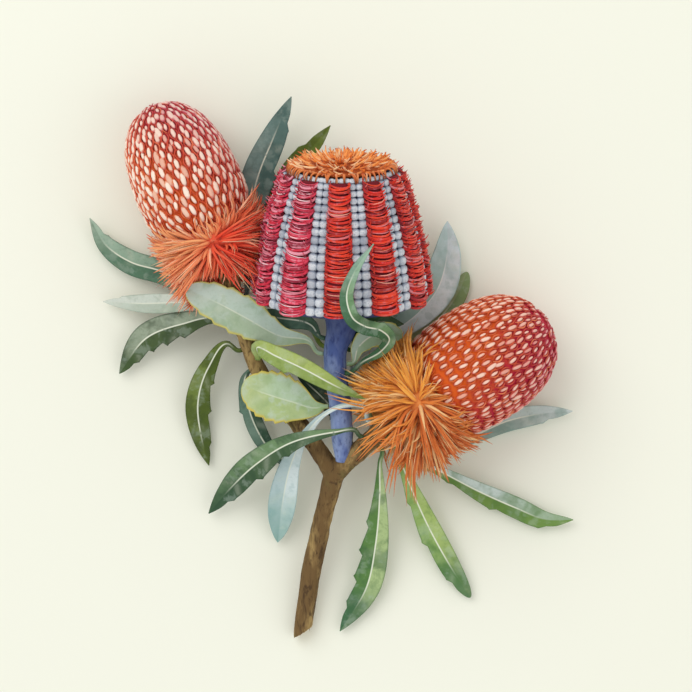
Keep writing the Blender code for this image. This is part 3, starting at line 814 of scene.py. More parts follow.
@dataclass(frozen=True)
class StrokeFinish:
    """The pale closed flowers of a cone-shaped head, pink at their edges."""

    name: str
    light: str
    edge: str
    deep: str

    def material(self) -> Material:
        """Paints the flowers. "warm" is 1 where the head is deep pink."""
        paint = Paint(self.name, roughness=0.65, sheen=0.2)
        top, reach = paint.value("top"), paint.value("reach")
        edge = paint.mix(self.edge, self.deep, paint.value("warm"))
        smear = paint.noise(1.6, 2.0)
        return paint.finish(paint.layers(
            edge,
            (self.light, (top + smear - 0.5).fade(0.2, 0.75)),
            (edge, paint.value("chance").fade(0.4, 1.0) * 0.55),
            (edge, paint.value("warm") * 0.35),
            (self.deep, (0.0 - reach).fade(0.45, 1.0) * 0.5)))


@dataclass(frozen=True)
class LeafFinish:
    """A leathery leaf with side veins, whose tip differs and whose two halves differ as the painted
    light and shade of a folded blade; its root end is painted darker in shade and a pale painted
    highlight runs along its midrib.
    """

    name: str
    slot: Slot
    left: str
    right: str
    deep: str
    tip: str = ""
    rib: str = "#E9EDDA"
    rim: str = ""
    rim_wide: float = 0.07
    rib_highlight_strength: float = 0.9
    rib_highlight_to: float = 0.9
    vein_apart: float = 4.2
    bloom: str = "#C3D2C6"
    bloom_share: float = 0.2

    def material(self) -> Material:
        """Paints the leaf from its own values: across, off (mm), along and run (mm)."""
        paint = Paint(self.name, roughness=0.6)
        across, off = paint.value("across"), abs(paint.value("off"))
        along, run = paint.value("along"), paint.value("run")
        wash = paint.noise(17.0, 3.0, distortion=0.3)
        blot = paint.noise(7.0, 3.0, distortion=0.3)
        grain = paint.noise(1.3, 4.0)
        vein = (((run - off * 0.8) / self.vein_apart).sine() * 0.5 + 0.5) ** 10.0
        edge = abs(across).fade(1.0 - self.rim_wide * 2.0, 1.0 - self.rim_wide * 0.4)
        # A painted highlight: a broken pale streak along the midrib.
        rib = (1.0 - off.fade(0.16, 0.52)) * blot.fade(0.3, 0.42)
        rib = rib * along.fade(0.05, 0.16) * (1.0 - along.fade(self.rib_highlight_to - 0.2, self.rib_highlight_to))
        colour = paint.layers(
            self.left,
            # The two halves' colours are the painted light and shade of the folded blade.
            (self.right, across.fade(-0.08, 0.08)),
            (self.tip or self.deep, (along + wash * 0.5 - 0.25).fade(0.6, 0.98) * 0.75),
            (self.deep, wash.fade(0.48, 0.64) * 0.55),
            (self.bloom, (1.0 - blot.fade(0.34, 0.5)) * self.bloom_share),
            (self.deep, blot.fade(0.54, 0.66) * 0.3),
            # Painted shade, darker towards the root.
            (self.deep, (1.0 - along.fade(0.04, 0.26)) * 0.45),
            (self.rib, vein * off.fade(0.3, 1.2) * blot.fade(0.4, 0.6) * 0.16),
            (self.deep, grain.fade(0.5, 0.72) * 0.2),
            (self.rim or self.deep, edge * (0.9 if self.rim else 0.45)),
            # The painted highlight along the midrib.
            (self.rib, rib * self.rib_highlight_strength))
        return paint.finish(colour, 0.5 + 0.25 * wash, grain * 0.4 - vein * 0.6, 0.15)


# Routes of the wood and the stalk: x, y, z and radius at listed points
ROUTES = {
    "stem": Route((
        (-14.6, -137.0, 4.2, 4.4), (-10.0, -105.0, 9.5, 4.9), (-4.0, -77.0, 15.5, 4.7),
        (-0.3, -62.0, 20.0, 4.9), (2.5, -50.0, 24.0, 5.5))),
    "left_branch": Route((
        (2.0, -53.0, 23.0, 4.8), (-5.5, -41.0, 25.0, 4.4), (-21.0, -20.5, 23.0, 4.2),
        (-37.0, 2.0, 24.0, 4.1), (-43.5, 20.0, 29.0, 4.1), (-47.5, 36.0, 34.5, 4.3),
        (-50.0, 46.1, 37.0, 4.8), (-52.05, 50.6, 36.05, 5.6))),
    "right_branch": Route((
        (2.0, -53.0, 23.0, 5.2), (10.0, -44.5, 28.5, 5.0), (20.0, -35.5, 35.0, 4.9),
        (28.3, -26.4, 39.6, 5.2), (32.2, -24.0, 38.8, 6.0))),
    "stalk": Route((
        (5.5, -49.0, 28.5, 2.0), (6.0, -39.0, 32.0, 4.6), (5.0, -17.0, 35.0, 5.5),
        (2.5, 0.0, 36.2, 5.7), (2.8, 11.0, 36.6, 5.9), (5.0, 19.0, 36.2, 7.2),
        (6.0, 25.9, 36.96, 8.8), (6.0, 29.79, 38.0, 9.6))),
}


@dataclass
class Wood:
    """The forked brown stem with its oblique cut and its uneven bark."""

    LENGTHS = {"stem": 60, "left_branch": 70, "right_branch": 36}
    KNOT_SCALE = (0.11, 0.05, 0.11)
    RIDGE_SCALE = (0.55, 0.12, 0.55)
    RIDGE_SHIFT = 7.0

    slant: float = 9.0
    end_radius: float = 4.6
    voxel: float = 0.8
    sides: int = 20
    swell: float = 0.45
    cut_near: float = 1.5
    cut_facing: float = 0.75
    cut_pale: float = 0.85

    def length(self, key: str, rings: int) -> Object:
        """One round length of wood along its route, cut back at one side if it is the stem."""
        route = ROUTES[key]
        turns = 2.0 * np.pi * (np.arange(self.sides) + 0.5) / self.sides
        grid = np.zeros((rings, self.sides, 3))
        for ring, share in enumerate(np.linspace(0.0, 1.0, rings)):
            x, y, z, radius = route.at(share)
            side, out = route.across(share)
            grid[ring] = (np.array([x, y, z]) + radius * np.outer(np.sin(turns), side)
                          - radius * np.outer(np.cos(turns), out))
        if key == "stem":
            grid[0] += np.outer(self.slant * 0.5 * (1.0 + np.sin(turns)), route.tangent(0.0))
        return tube(key, grid)

    def build(self) -> Object:
        """Melts the lengths together, then raises the bark and marks the cut end."""
        wood = joined("wood", [self.length(key, rings) for key, rings in self.LENGTHS.items()])
        melt = wood.modifiers.new("melt", "REMESH")
        melt.mode = "VOXEL"
        melt.voxel_size = self.voxel * MM
        ease = wood.modifiers.new("ease", "SMOOTH")
        ease.iterations = 4
        graph = bpy.context.evaluated_depsgraph_get()
        wood.data = bpy.data.meshes.new_from_object(wood.evaluated_get(graph))
        wood.modifiers.clear()
        self.roughen(wood.data)
        wood.data.shade_smooth()
        wood.data.materials.append(BarkFinish().material())
        return wood

    def roughen(self, mesh: bpy.types.Mesh) -> None:
        """Raises knots and ridges, keeps the lowest side flat, and stores the value "cut"."""
        stem = ROUTES["stem"]
        start, tangent = stem.at(0.0)[:3], stem.tangent(0.0)
        cut_way = -unit(tangent - stem.across(0.0)[0] * 0.5 * self.slant / self.end_radius)
        normals = [np.array(vertex.normal) for vertex in mesh.vertices]
        cut = mesh.attributes.new("cut", "FLOAT", "POINT")
        for vertex, normal in zip(mesh.vertices, normals):
            place = np.array(vertex.co) / MM
            near_end = np.dot(place - start, tangent) < self.slant + self.cut_near
            is_cut = near_end and np.dot(normal, cut_way) > self.cut_facing
            knot = noise.noise(Vector(place * self.KNOT_SCALE))
            ridge = noise.noise(Vector(place * self.RIDGE_SCALE + self.RIDGE_SHIFT))
            rise = 0.0 if is_cut else self.swell * (1.3 * knot + 0.7 * ridge)
            vertex.co = Vector(raised(place + normal * rise, 0.0) * MM)
            cut.data[vertex.index].value = self.cut_pale if is_cut else 0.0


@dataclass
class Stalk:
    """The blue-grey stalk that carries the striped head."""

    first: float = 0.045
    rings: int = 90
    sides: int = 28
    lump: float = 0.22
    flute: float = 0.1
    flutes: float = 5.0

    def build(self) -> Object:
        """A round stalk with shallow lumps and flutes, wider under the head."""
        route = ROUTES["stalk"]
        grid = np.zeros((self.rings, self.sides, 3))
        along = np.linspace(self.first, 1.0, self.rings)
        for ring, share in enumerate(along):
            x, y, z, radius = route.at(share)
            side, out = route.across(share)
            for step in range(self.sides):
                turn = 2.0 * math.pi * step / self.sides
                spot = Vector((math.sin(turn) * 1.5, share * 16.0, math.cos(turn) * 1.5))
                wide = radius + self.lump * noise.noise(spot)
                wide += self.flute * math.sin(self.flutes * turn)
                way = side * math.sin(turn) + out * math.cos(turn)
                grid[ring, step] = np.array([x, y, z]) + wide * way
        return tube("stalk", grid, StalkFinish().material(), along=along[:, None])


@dataclass
class StripedHead:
    """The squat head: red looped columns between double columns of grey buds, under a crown."""

    # Way and radius under the core, turn and inset round a column's body, height and radius of the dome
    FOOT = ((-5.6, 9.8), (-4.6, 24.0), (-1.5, 38.0))
    BODY = ((-7.9, 4.95), (-8.7, 2.9), (-5.0, 1.7), (0.0, 1.35), (5.0, 1.7), (8.7, 2.9), (7.9, 4.95))
    DOME = ((0.2, 18.0), (0.5, 23.6), (1.3, 24.0), (2.2, 20.0), (3.2, 14.0), (4.2, 8.0), (4.6, 1.0))
    # Start and end radius, height, rise and count of each tier of petals
    TIERS = ((16.5, 26.8, 0.9, 2.2, 96), (11.5, 22.5, 1.9, 2.6, 84), (7.0, 17.0, 2.7, 2.8, 60),
             (3.0, 11.5, 3.3, 3.0, 36), (0.5, 5.5, 3.8, 3.0, 18))
    CURLS = 84
    RIM_BUDS = 64
    # Thickness along a pale strand of painted highlight and along a hook
    HIGHLIGHT = np.array([0.1, 0.2, 0.28, 0.3, 0.28, 0.2, 0.1])
    HOOK = np.array([0.42, 0.42, 0.38, 0.3, 0.2, 0.08])
    # Ranges that the loops, the hooks, the petals and the curls are drawn from
    LOOP_LIFT, LOOP_THICK = (-0.8, 0.5), (0.5, 0.72)
    HOOK_INSET, HOOK_SPLAY, HOOK_REACH, HOOK_CURL = (1.2, 2.6), (-5.0, 22.0), (2.0, 3.8), (0.2, 0.9)
    PETAL_REACH, PETAL_RISE, PETAL_THICK, CURL_DROP = (0.75, 1.08), (0.3, 1.5), (0.5, 0.78), (2.6, 4.6)
    # The most that the same four stray either way
    LOOP_JOG, LOOP_TILT, LOOP_UNEVEN, HOOK_JOG = 0.6, 1.5, 0.12, 1.0
    PETAL_STRAY, PETAL_BEND, CURL_STRAY, CURL_BEND = 0.35, 12.0, 0.4, 6.0

    axis: Axis = field(default_factory=lambda: Axis((6.0, 36.5, 39.8), (0.0, 0.966, 0.259)))
    length: float = 64.5
    foot_radius: float = 45.5
    top_radius: float = 31.5
    belly: float = 1.6
    core_inset: float = 5.3
    columns: int = 11
    column_turn: float = -2.2
    pink_side: float = -0.1
    buds_high: int = 16
    bud: tuple = (2.95, 2.4, 2.35)
    bud_places: tuple = (12.8, 19.9)
    bud_inset: float = 4.3
    bud_lowest: float = 2.5
    rim_inset: float = 5.6
    rim_lean: float = 0.8
    rim_size: float = 0.62
    loops_high: int = 36
    loop_half: float = 9.7
    loop_wrap: float = 104.0
    loop_depth: float = 2.9
    loop_sag: float = 1.5
    loops_from: float = 1.2
    under_loop: tuple = (0.9, 0.3, 0.34)
    highlight_share: float = 0.7
    highlight_rise: float = 0.45
    curl_root: float = 22.5
    curl_reach: float = 5.0
    dome: float = 1.2
    seed: int = 5

    def radius(self, way: float) -> float:
        """The outer radius over the red columns at a way up from the foot."""
        share = min(max(way / self.length, 0.0), 1.0)
        return (self.foot_radius + (self.top_radius - self.foot_radius) * share**1.15
                + self.belly * math.sin(math.pi * share))

    def middle(self, column: int) -> float:
        """The turn of the middle of a red column, in degrees."""
        return self.column_turn + 360.0 * column / self.columns

    def core(self) -> Object:
        """The dark skin under the flowers, closed at the foot and at the top; its indigo is painted
        shade between the buds.
        """
        top = self.length + self.dome
        sides = [(way, self.radius(way) - self.core_inset) for way in np.linspace(1.0, self.length, 24)]
        grid = self.axis.lathe([*self.FOOT, *sides, (top, 22.0), (top, 6.0)], 66, 0.15)
        # Dark indigo, painted shade where the core shows between the buds.
        return tube("core", grid, ShadowFinish("core_skin", "#39406A", "#6C7698").material())

    def bud_ways(self) -> list[tuple[float, float]]:
        """The way up and the size of each row of buds, which shrink towards the top."""
        high = self.buds_high
        pitches = [self.radius(self.length * (row + 0.5) / high) for row in range(high)]
        scale = (self.length - 0.5) / sum(pitches)
        ways, way = [], 0.3
        for pitch in pitches:
            ways.append((way + 0.5 * pitch * scale, pitch / self.foot_radius))
            way += pitch * scale
        return ways

    def grey(self) -> Object:
        """The buds on their core, in double columns, with a row of small ones round the top."""
        plan = MeshPlan()
        along = self.axis.along
        for column in range(self.columns):
            for place in self.bud_places:
                turn = self.middle(column) + place
                for way, size in self.bud_ways():
                    here = self.axis.point(way, self.radius(way) - self.bud_inset, turn)
                    here = raised(here, self.bud_lowest)
                    plan.add_seat(here, self.axis.outward(turn), along, size=size)
        for index in range(self.RIM_BUDS):
            turn = 360.0 * index / self.RIM_BUDS
            out, lean = self.axis.outward(turn), self.rim_lean
            here = self.axis.point(self.length + 0.6, self.top_radius - self.rim_inset, turn)
            plan.add_seat(here, out + along * lean, along - out * lean, size=self.rim_size)
        shape = pod("bud", *self.bud, 9, 12, pinch=0.12, square=0.62)
        buds = SEATS.grow(plan, "buds", Shape=shape, Size=1.0, Spread=0.06, Tilt=0.1, Seed=3,
                          Finish=BudFinish().material())
        bpy.data.objects.remove(shape)
        return joined("grey_buds", [self.core(), buds])

    def loop_path(self, way: float, middle: float, draw: random.Random, lift: float) -> Vec:
        """One style looped over a red column.

        Args:
            way: how far up the head it lies.
            middle: the turn of the column's middle, in degrees.
            draw: the source of its unevenness.
            lift: how far it stands out of the others, in millimetres.

        Returns:
            Its points, from one root to the other.
        """
        outer = self.radius(way) + lift
        jog, tilt = stray(draw, self.LOOP_JOG), stray(draw, self.LOOP_TILT)
        path = []
        for share in np.linspace(-1.0, 1.0, 11):
            bend = share * math.radians(self.loop_wrap)
            place = self.loop_half * math.sin(bend) + stray(draw, self.LOOP_UNEVEN)
            inner = outer - self.loop_depth
            radius = inner + self.loop_depth * math.cos(bend) + stray(draw, self.LOOP_UNEVEN)
            sag = self.loop_sag * math.cos(bend) - tilt * share
            path.append(self.axis.point(way + jog - sag, radius, middle + place))
        return raised(np.array(path), 0.65)

    def styles_colours(self) -> dict[bool, tuple[Material, Material]]:
        """The finishes of the loops and of their thin pale strands of painted highlight: pinker ones
        are under True.
        """
        # The loops are painted dark maroon at both ends, as shade where they turn in at the column's
        # sides, with a painted highlight along their middle.
        crimson = StrandFinish("crimson_loops", "#7E1430", "#CC1838", "#E64A66", "#8E1228", "#EBA5B6",
                               tip_from=0.86, light_from=0.84, middle_light=0.5, dark_share=0.8)
        scarlet = StrandFinish("scarlet_loops", "#7C1626", "#DA1F1A", "#F04620", "#8E1A1C", "#D98A92",
                               tip_from=0.86, light_from=0.88, middle_light=0.35, dark_share=0.8)
        pink = StrandFinish("pink_edges", "#C8304A", "#F3B7C4", "#E8708A", "#C8304A", "#FBE3E6",
                            tip_from=0.7, light_from=0.7)
        coral = StrandFinish("coral_edges", "#C8281C", "#EF5A3A", "#E2342A", "#C8281C", "#F9B7A2",
                             tip_from=0.7, light_from=0.8)
        return {True: (crimson.material(), pink.material()),
                False: (scarlet.material(), coral.material())}

    def red(self, column: int, finishes: dict[bool, tuple[Material, Material]]) -> Object:
        """One red column: its dark body of painted shade under bold loops, most with a pale strand of
        painted highlight, and hooks at its sides.
        """
        draw = random.Random(self.seed + column)
        middle = self.middle(column)
        loops_finish, highlights_finish = finishes[math.sin(math.radians(middle)) < self.pink_side]
        loops, edges = MeshPlan(), MeshPlan()
        pitch = (self.length - self.loops_from) / self.loops_high
        higher, deeper, thinner = self.under_loop
        for loop in range(self.loops_high):
            way = self.loops_from + pitch * (loop + 0.5)
            scale = 0.7 + 0.3 * self.radius(way) / self.foot_radius
            lift = draw.uniform(*self.LOOP_LIFT)
            path = self.loop_path(way, middle, draw, lift)
            loops.add_strand(path, draw.uniform(*self.LOOP_THICK) * scale, warm=draw.random())
            path = self.loop_path(way + higher, middle, draw, lift - deeper)
            loops.add_strand(path, thinner * scale, warm=draw.random())
            # A thin pale strand over most loops is a painted highlight.
            if draw.random() < self.highlight_share:
                path = self.loop_path(way + self.highlight_rise, middle, draw, lift + self.highlight_rise)
                edges.add_strand(path[2:-2], self.HIGHLIGHT * scale, warm=draw.random())
            for side in (-1.0, 1.0):
                for _ in range(draw.randint(1, 2)):
                    loops.add_strand(self.hook(way, middle, side, draw), self.HOOK, warm=draw.random())
        return joined(f"red_loops_{column:02d}", [
            self.column_body(middle),
            STRANDS.grow(loops, "loops", Sides=6, Spread=0.15, Seed=column, Finish=loops_finish),
            STRANDS.grow(edges, "edges", Sides=4, Spread=0.3, Seed=column + 50, Finish=highlights_finish)])

    def hook(self, way: float, middle: float, side: float, draw: random.Random) -> Vec:
        """One free style at a column's edge, which curls up and out."""
        turn = middle + side * (self.loop_half - draw.uniform(*self.HOOK_INSET))
        start = self.axis.point(way + stray(draw, self.HOOK_JOG), self.radius(way) - 2.2, turn)
        out = unit(self.axis.outward(turn + side * draw.uniform(*self.HOOK_SPLAY)))
        reach = draw.uniform(*self.HOOK_REACH)
        share = np.linspace(0.0, 1.0, len(self.HOOK))
        curl = share**2 * reach * draw.uniform(*self.HOOK_CURL)
        return raised(start + np.outer(share * reach, out) + np.outer(curl, self.axis.along), 0.4)

    def column_body(self, middle: float) -> Object:
        """The dark body that the loops of one column lie on; its maroon is painted shade in the gaps
        between the loops.
        """
        ways = np.linspace(0.6, self.length + 0.2, 20)
        grid = np.array([[self.axis.point(way, self.radius(way) - inset, middle + place)
                          for place, inset in self.BODY] for way in ways])
        # Dark maroon, painted shade between the loops.
        skin = ShadowFinish("column_skin", "#6E0F1E", "#4A0C22").material()
        return tube("column", raised(grid, 0.1), skin, warm=0.0, along=0.0, chance=0.0)

    def petals(self, base: float, draw: random.Random) -> MeshPlan:
        """The tiers of petals that lean outwards on the dome, whose foot is at a way."""
        plan = MeshPlan()
        share = np.linspace(0.0, 1.0, 9)
        for start, end, height, rise, count in self.TIERS:
            for index in range(count):
                turn = 360.0 * (index + stray(draw, self.PETAL_STRAY)) / count + start * 7.0
                reach = (end - start) * draw.uniform(*self.PETAL_REACH)
                steep = rise * draw.uniform(*self.PETAL_RISE)
                bend = stray(draw, self.PETAL_BEND)
                path = [self.axis.point(base + height + steep * (0.5 * step + 0.8 * step**2),
                                        start + reach * (step + 0.12 * math.sin(step * math.pi)),
                                        turn + bend * step**2) for step in share]
                thick = draw.uniform(*self.PETAL_THICK) * (1.0 - 0.72 * share**2.5)
                plan.add_strand(np.array(path), thick, warm=draw.random())
        return plan

    def curls(self, base: float, draw: random.Random) -> MeshPlan:
        """The curls that hang over the edge of the dome, whose foot is at a way."""
        plan = MeshPlan()
        share = np.linspace(0.0, 1.0, 9)
        for index in range(self.CURLS):
            turn = 360.0 * (index + stray(draw, self.CURL_STRAY)) / self.CURLS
            bend, drop = stray(draw, self.CURL_BEND), draw.uniform(*self.CURL_DROP)
            path = [self.axis.point(base + 1.4 + 1.5 * math.sin(step * math.pi) - drop * step**2,
                                    self.curl_root + self.curl_reach * math.sin(step * 1.7),
                                    turn + bend * step) for step in share]
            plan.add_strand(np.array(path), 0.58 - 0.22 * share, warm=draw.random())
        return plan

    def crown(self) -> Object:
        """The orange crown: tiers of petals and a ring of curls, on a low dome."""
        draw = random.Random(self.seed)
        base = self.length + self.dome + GAP
        dome = self.axis.lathe([(base + height, radius) for height, radius in self.DOME], 48)
        skin = tube("dome", dome, ShadowFinish("crown_skin", "#8E3C16", "#B4551C").material(), warm=0.3)
        petal = StrandFinish("crown_petals", "#CC5A24", "#F68C34", "#FCB86C", "#B4421E", "#FDDCB0",
                             tip_from=0.84, light_from=0.75)
        curl = StrandFinish("crown_curls", "#D9702E", "#E88A48", "#C9602E", "#6A2E18", "#F3B486",
                            tip_from=0.5, light_from=0.8)
        petals, curls = self.petals(base, draw), self.curls(base, draw)
        return joined("crown", [
            skin, STRANDS.grow(petals, "petals", Sides=6, Spread=0.15, Seed=9, Finish=petal.material()),
            STRANDS.grow(curls, "curls", Sides=5, Spread=0.2, Seed=10, Finish=curl.material())])

    def build(self) -> None:
        """Makes every piece of the head and tells the frame about it."""
        finishes = self.styles_colours()
        seat_piece(self.grey(), Slot.GREY, "centre_head_flowers")
        for column in range(self.columns):
            seat_piece(self.red(column, finishes), Slot.RED, f"red_styles_{column:02d}")
        seat_piece(self.crown(), Slot.CROWN, "centre_head_crown")


@dataclass
class ConeHead:
    """A cone-shaped head: closed flowers in rings above a fringe of open, wiry ones."""

    # How many styles a tuft has, and the least number of points of a style that is kept
    TUFT = 5
    SHORTEST = 4
    # Ranges that the flowers and the styles are drawn from, and the most that they stray either way
    FLOWER_SIZE, TUFT_LONG, STYLE_LONG = (0.85, 1.1), (0.82, 1.12), (0.86, 1.06)
    FLOWER_JOG, FLOWER_TURN, FLOWER_SHIFT, TUFT_SWING = 0.9, 1.6, 0.6, 0.6
    STYLE_TURN, STYLE_PLACE, STYLE_LEAN, STYLE_SWING, STYLE_WARM = 6.0, 0.02, 4.0, 0.15, 0.2
    # Half thickness of a short, a long and a fine style, and how long a short one is
    SHORT_THICK, LONG_THICK, FINE_THICK, SHORT_LONG = 1.15, 0.9, 0.32, 0.62
    # Thickness along the outline of a flower, and the bun's radius as a share of its widest
    OUTLINE = np.array([0.2, 0.3, 0.36, 0.36, 0.3, 0.24, 0.12])
    BUN = (0.45, 0.80, 1.0, 0.94, 0.84)

    name: str
    axis: Axis
    profile: tuple
    rings: int
    around: int
    stroke: tuple
    bun: tuple
    reach: float
    strands: int
    skin: ShadowFinish
    flowers: StrokeFinish
    outlines: StrandFinish
    fringe: StrandFinish
    cone_slot: Slot
    fringe_slot: Slot
    neighbours: list
    covers: list
    warm_way: tuple
    droop: float
    seed: int
    skin_inset: float = 1.5
    flower_inset: float = 0.5
    flower_lowest: float = 2.0
    tip_crowding: float = 0.6
    outline_room: float = 0.75
    style_room: float = 0.9
    lean: tuple = (50.0, 92.0)

    def radius(self, way: float) -> float:
        """The radius at a way along the axis, on a smooth curve through the profile."""
        ways = [step[0] for step in self.profile]
        radii = [step[1] for step in self.profile]
        index = int(np.clip(np.searchsorted(ways, way) - 1, 0, len(ways) - 2))
        slopes = np.gradient(radii, ways)
        span = ways[index + 1] - ways[index]
        t = (way - ways[index]) / span
        return float(cubic(t, span, radii[index:index + 2], slopes[index:index + 2]))

    def way_at(self, share: float) -> float:
        """The way along the axis at a share of the rings, closer together at the tip."""
        first, last = self.profile[0][0], self.profile[-1][0]
        eased = self.tip_crowding * math.sin(0.5 * math.pi * share) + (1.0 - self.tip_crowding) * share
        return first + (last - first) * eased

    def core(self) -> Object:
        """The skin that the closed flowers stand on."""
        ways = [self.way_at(share) for share in np.linspace(0.0, 1.0, 40)]
        rows = [(way, max(self.radius(way) - self.skin_inset, 1.0)) for way in ways]
        grid = self.axis.lathe(rows, 60, 0.1)
        turns = np.linspace(0, 360, 60, False)
        return tube("cone_core", grid, self.skin.material(),
                    warm=np.array([[self.warmth(way, turn) for turn in turns] for way in ways]))

    def warmth(self, way: float, turn: float) -> float:
        """How deep a pink the flowers are: towards the tip and towards the right."""
        share = way / self.profile[-1][0]
        return float(np.clip(1.15 * share**1.9 + 0.5 * math.sin(math.radians(turn)) - 0.1, 0.0, 1.0))

    def flower_places(self) -> list[tuple[float, float, float]]:
        """The way, the turn and the size of each closed flower, ring by ring."""
        places = []
        widest = max(step[1] for step in self.profile)
        for ring in range(self.rings):
            way = self.way_at((ring + 0.45) / self.rings)
            share = self.radius(way) / widest
            count = max(6, round(self.around * share**0.8))
            for index in range(count):
                turn = 360.0 * (index + 0.5 * (ring % 2)) / count
                places.append((way, turn, min(1.0, share**0.45)))
        return places

    def ahead(self, way: float, turn: float) -> Vec:
        """The unit vector along the surface towards the tip."""
        further = min(way + 0.8, self.profile[-1][0])
        return unit(self.axis.point(further, self.radius(further), turn)
                    - self.axis.point(way, self.radius(way), turn))

    def cone(self) -> Object:
        """The closed flowers on their core, each outlined by its curled styles."""
        draw = random.Random(self.seed)
        seats, lines = MeshPlan(), MeshPlan()
        wide, long, _ = self.stroke
        share = np.linspace(-1.0, 1.0, len(self.OUTLINE))
        for way, turn, size in self.flower_places():
            way += stray(draw, self.FLOWER_JOG)
            turn += stray(draw, self.FLOWER_TURN)
            ahead = self.ahead(way, turn)
            sideways = unit(np.cross(ahead, self.axis.outward(turn)))
            outward = np.cross(sideways, ahead)
            middle = raised(self.axis.point(way, self.radius(way) - self.flower_inset, turn),
                            self.flower_lowest)
            warm = self.warmth(way, turn)
            seats.add_seat(middle + ahead * stray(draw, self.FLOWER_SHIFT), outward, ahead,
                           size=size * draw.uniform(*self.FLOWER_SIZE), warm=warm)
            half = (0.5 * wide * 2.15 + self.outline_room) * size
            for side in (-1.0, 1.0):
                path = (middle + np.outer(side * half * np.cos(share * 1.45), sideways)
                        + np.outer(share * long * 1.15 * size, ahead)
                        + np.outer(0.9 * np.cos(share * 1.2) - 0.5, outward))
                lines.add_strand(raised(path, 0.45), self.OUTLINE * size, warm=warm)
        shape = pod("stroke", *self.stroke, 7, 8)
        flowers = SEATS.grow(seats, "flowers", Shape=shape, Size=1.0, Spread=0.24, Tilt=0.2,
                             Seed=self.seed, Finish=self.flowers.material())
        bpy.data.objects.remove(shape)
        outlines = STRANDS.grow(lines, "outlines", Sides=4, Spread=0.2, Seed=self.seed + 1,
                                Finish=self.outlines.material())
        return joined(f"{self.name}_cone", [self.core(), flowers, outlines])

    def bun_rows(self) -> tuple[list[float], list[float]]:
        """The ways and the radii of the bun that the fringe grows out of."""
        low, high, radius = self.bun
        ways = [low, low + 4.0, 0.5 * (low + high), high - 2.0, high]
        return ways, [radius * part for part in self.BUN]

    def strand_path(self, place: float, turn: float, draw: random.Random, long: float,
                    swing: float) -> Vec:
        """One open style of the fringe, swept away from the side that faces up.

        Args:
            place: 0 beside the cone and 1 beside the stem.
            turn: its turn round the axis, in degrees.
            draw: the source of its unevenness.
            long: how long it is, as a share of the fringe's reach.
            swing: how far its tip bends aside.

        Returns:
            Its points, from root to tip.
        """
        low, high, _ = self.bun
        way = high - 1.2 - (high - low - 3.5) * place
        lean = math.radians(self.lean[0] + self.lean[1] * place + stray(draw, self.STYLE_LEAN))
        start = float(np.interp(way, *self.bun_rows())) - 2.2
        root = self.axis.point(way, start, turn)
        out = self.axis.outward(turn)
        straight = unit(out * math.sin(lean) + self.axis.along * math.cos(lean))
        away = root - self.axis.point(0.5 * (low + high), self.bun[2], 0.0)
        away = away - np.dot(away, straight) * straight
        facing = max(0.0, math.cos(math.radians(turn)))
        sweep = unit(away) * (0.25 + 0.75 * facing) if np.linalg.norm(away) > 0.5 else straight * 0.0
        over = max(0.0, float(np.dot(sweep, self.axis.along))) * facing
        length = (self.reach - start * math.sin(lean)) * long * (1.0 - 0.45 * over)
        forward = self.axis.along * (0.75 * (1.0 - place) ** 1.4 - self.droop * facing)
        share = np.linspace(0.0, 1.0, 8)[:, None]
        swing = swing + stray(draw, self.STYLE_SWING)
        aside = unit(np.cross(straight, self.axis.along))
        path = (straight * (share - 0.28 * share**2) + sweep * 0.62 * share**1.5
                + forward * 0.5 * share**2 + aside * swing * share * (1.35 * share - 0.35))
        return raised(root + length * path, 0.5)

    def open_fringe(self) -> Object:
        """The fringe: a bun set with broad styles, and finer pale ones over them whose pale colour is a
        painted highlight.
        """
        draw = random.Random(self.seed + 2)
        ways, radii = self.bun_rows()
        rows = [(way, float(np.interp(way, ways, radii)) - 0.4)
                for way in np.linspace(ways[0], ways[-1], 14)]
        skin = tube("bun", self.axis.lathe(rows, 40),
                    ShadowFinish(self.name + "_bun", self.fringe.root, self.fringe.body).material())
        trees, covers = solid_trees(self.neighbours), solid_trees(self.covers)
        broad, fine = MeshPlan(), MeshPlan()
        tufts = self.strands // self.TUFT
        for index in range(self.strands):
            tuft, member = divmod(index, self.TUFT)
            if member == 0:
                lengths, swing = draw.uniform(*self.TUFT_LONG), stray(draw, self.TUFT_SWING)
            turn = tuft * GOLDEN_ANGLE + stray(draw, self.STYLE_TURN)
            place = float(np.clip((tuft + 0.5) / tufts + stray(draw, self.STYLE_PLACE), 0.0, 1.0))
            is_fine, is_short = member == self.TUFT - 1, member == 0
            long = lengths * draw.uniform(*self.STYLE_LONG) * (self.SHORT_LONG if is_short else 1.0)
            path = self.strand_path(place, turn, draw, long, swing)
            kept = clear_length(path, trees, covers, self.style_room)
            if kept < self.SHORTEST:
                continue
            path = path[:kept]
            shape = np.linspace(0.0, 1.0, kept)
            bulge = np.minimum(1.0, 0.75 + shape) * (1.0 - shape**1.9) + 0.06
            warm = 0.5 + 0.6 * float(np.dot(unit(path[-1] - path[0]), self.warm_way))
            warm = min(max(warm + stray(draw, self.STYLE_WARM), 0.0), 1.0)
            if is_fine:
                path = path + self.axis.outward(turn) * 0.6
                fine.add_strand(path, self.FINE_THICK * bulge, warm=warm)
            else:
                thick = self.SHORT_THICK if is_short else self.LONG_THICK
                broad.add_strand(path, thick * bulge, warm=warm)
        # The fine styles' pale colour is a painted highlight.
        light = StrandFinish(self.name + "_light_styles", self.fringe.body, self.fringe.light,
                             self.fringe.other, self.fringe.body, "#FBDFAE", light_from=0.5)
        return joined(f"{self.name}_fringe", [
            skin, STRANDS.grow(broad, "styles", Sides=4, Spread=0.25, Seed=self.seed + 3,
                               Finish=self.fringe.material()),
            STRANDS.grow(fine, "fine_styles", Sides=3, Spread=0.3, Seed=self.seed + 4,
                         Finish=light.material())])

    def build(self) -> None:
        """Makes both pieces of the head and tells the frame about them."""
        seat_piece(self.cone(), self.cone_slot, f"{self.name}_head_cone")
        seat_piece(self.open_fringe(), self.fringe_slot, f"{self.name}_head_fringe")


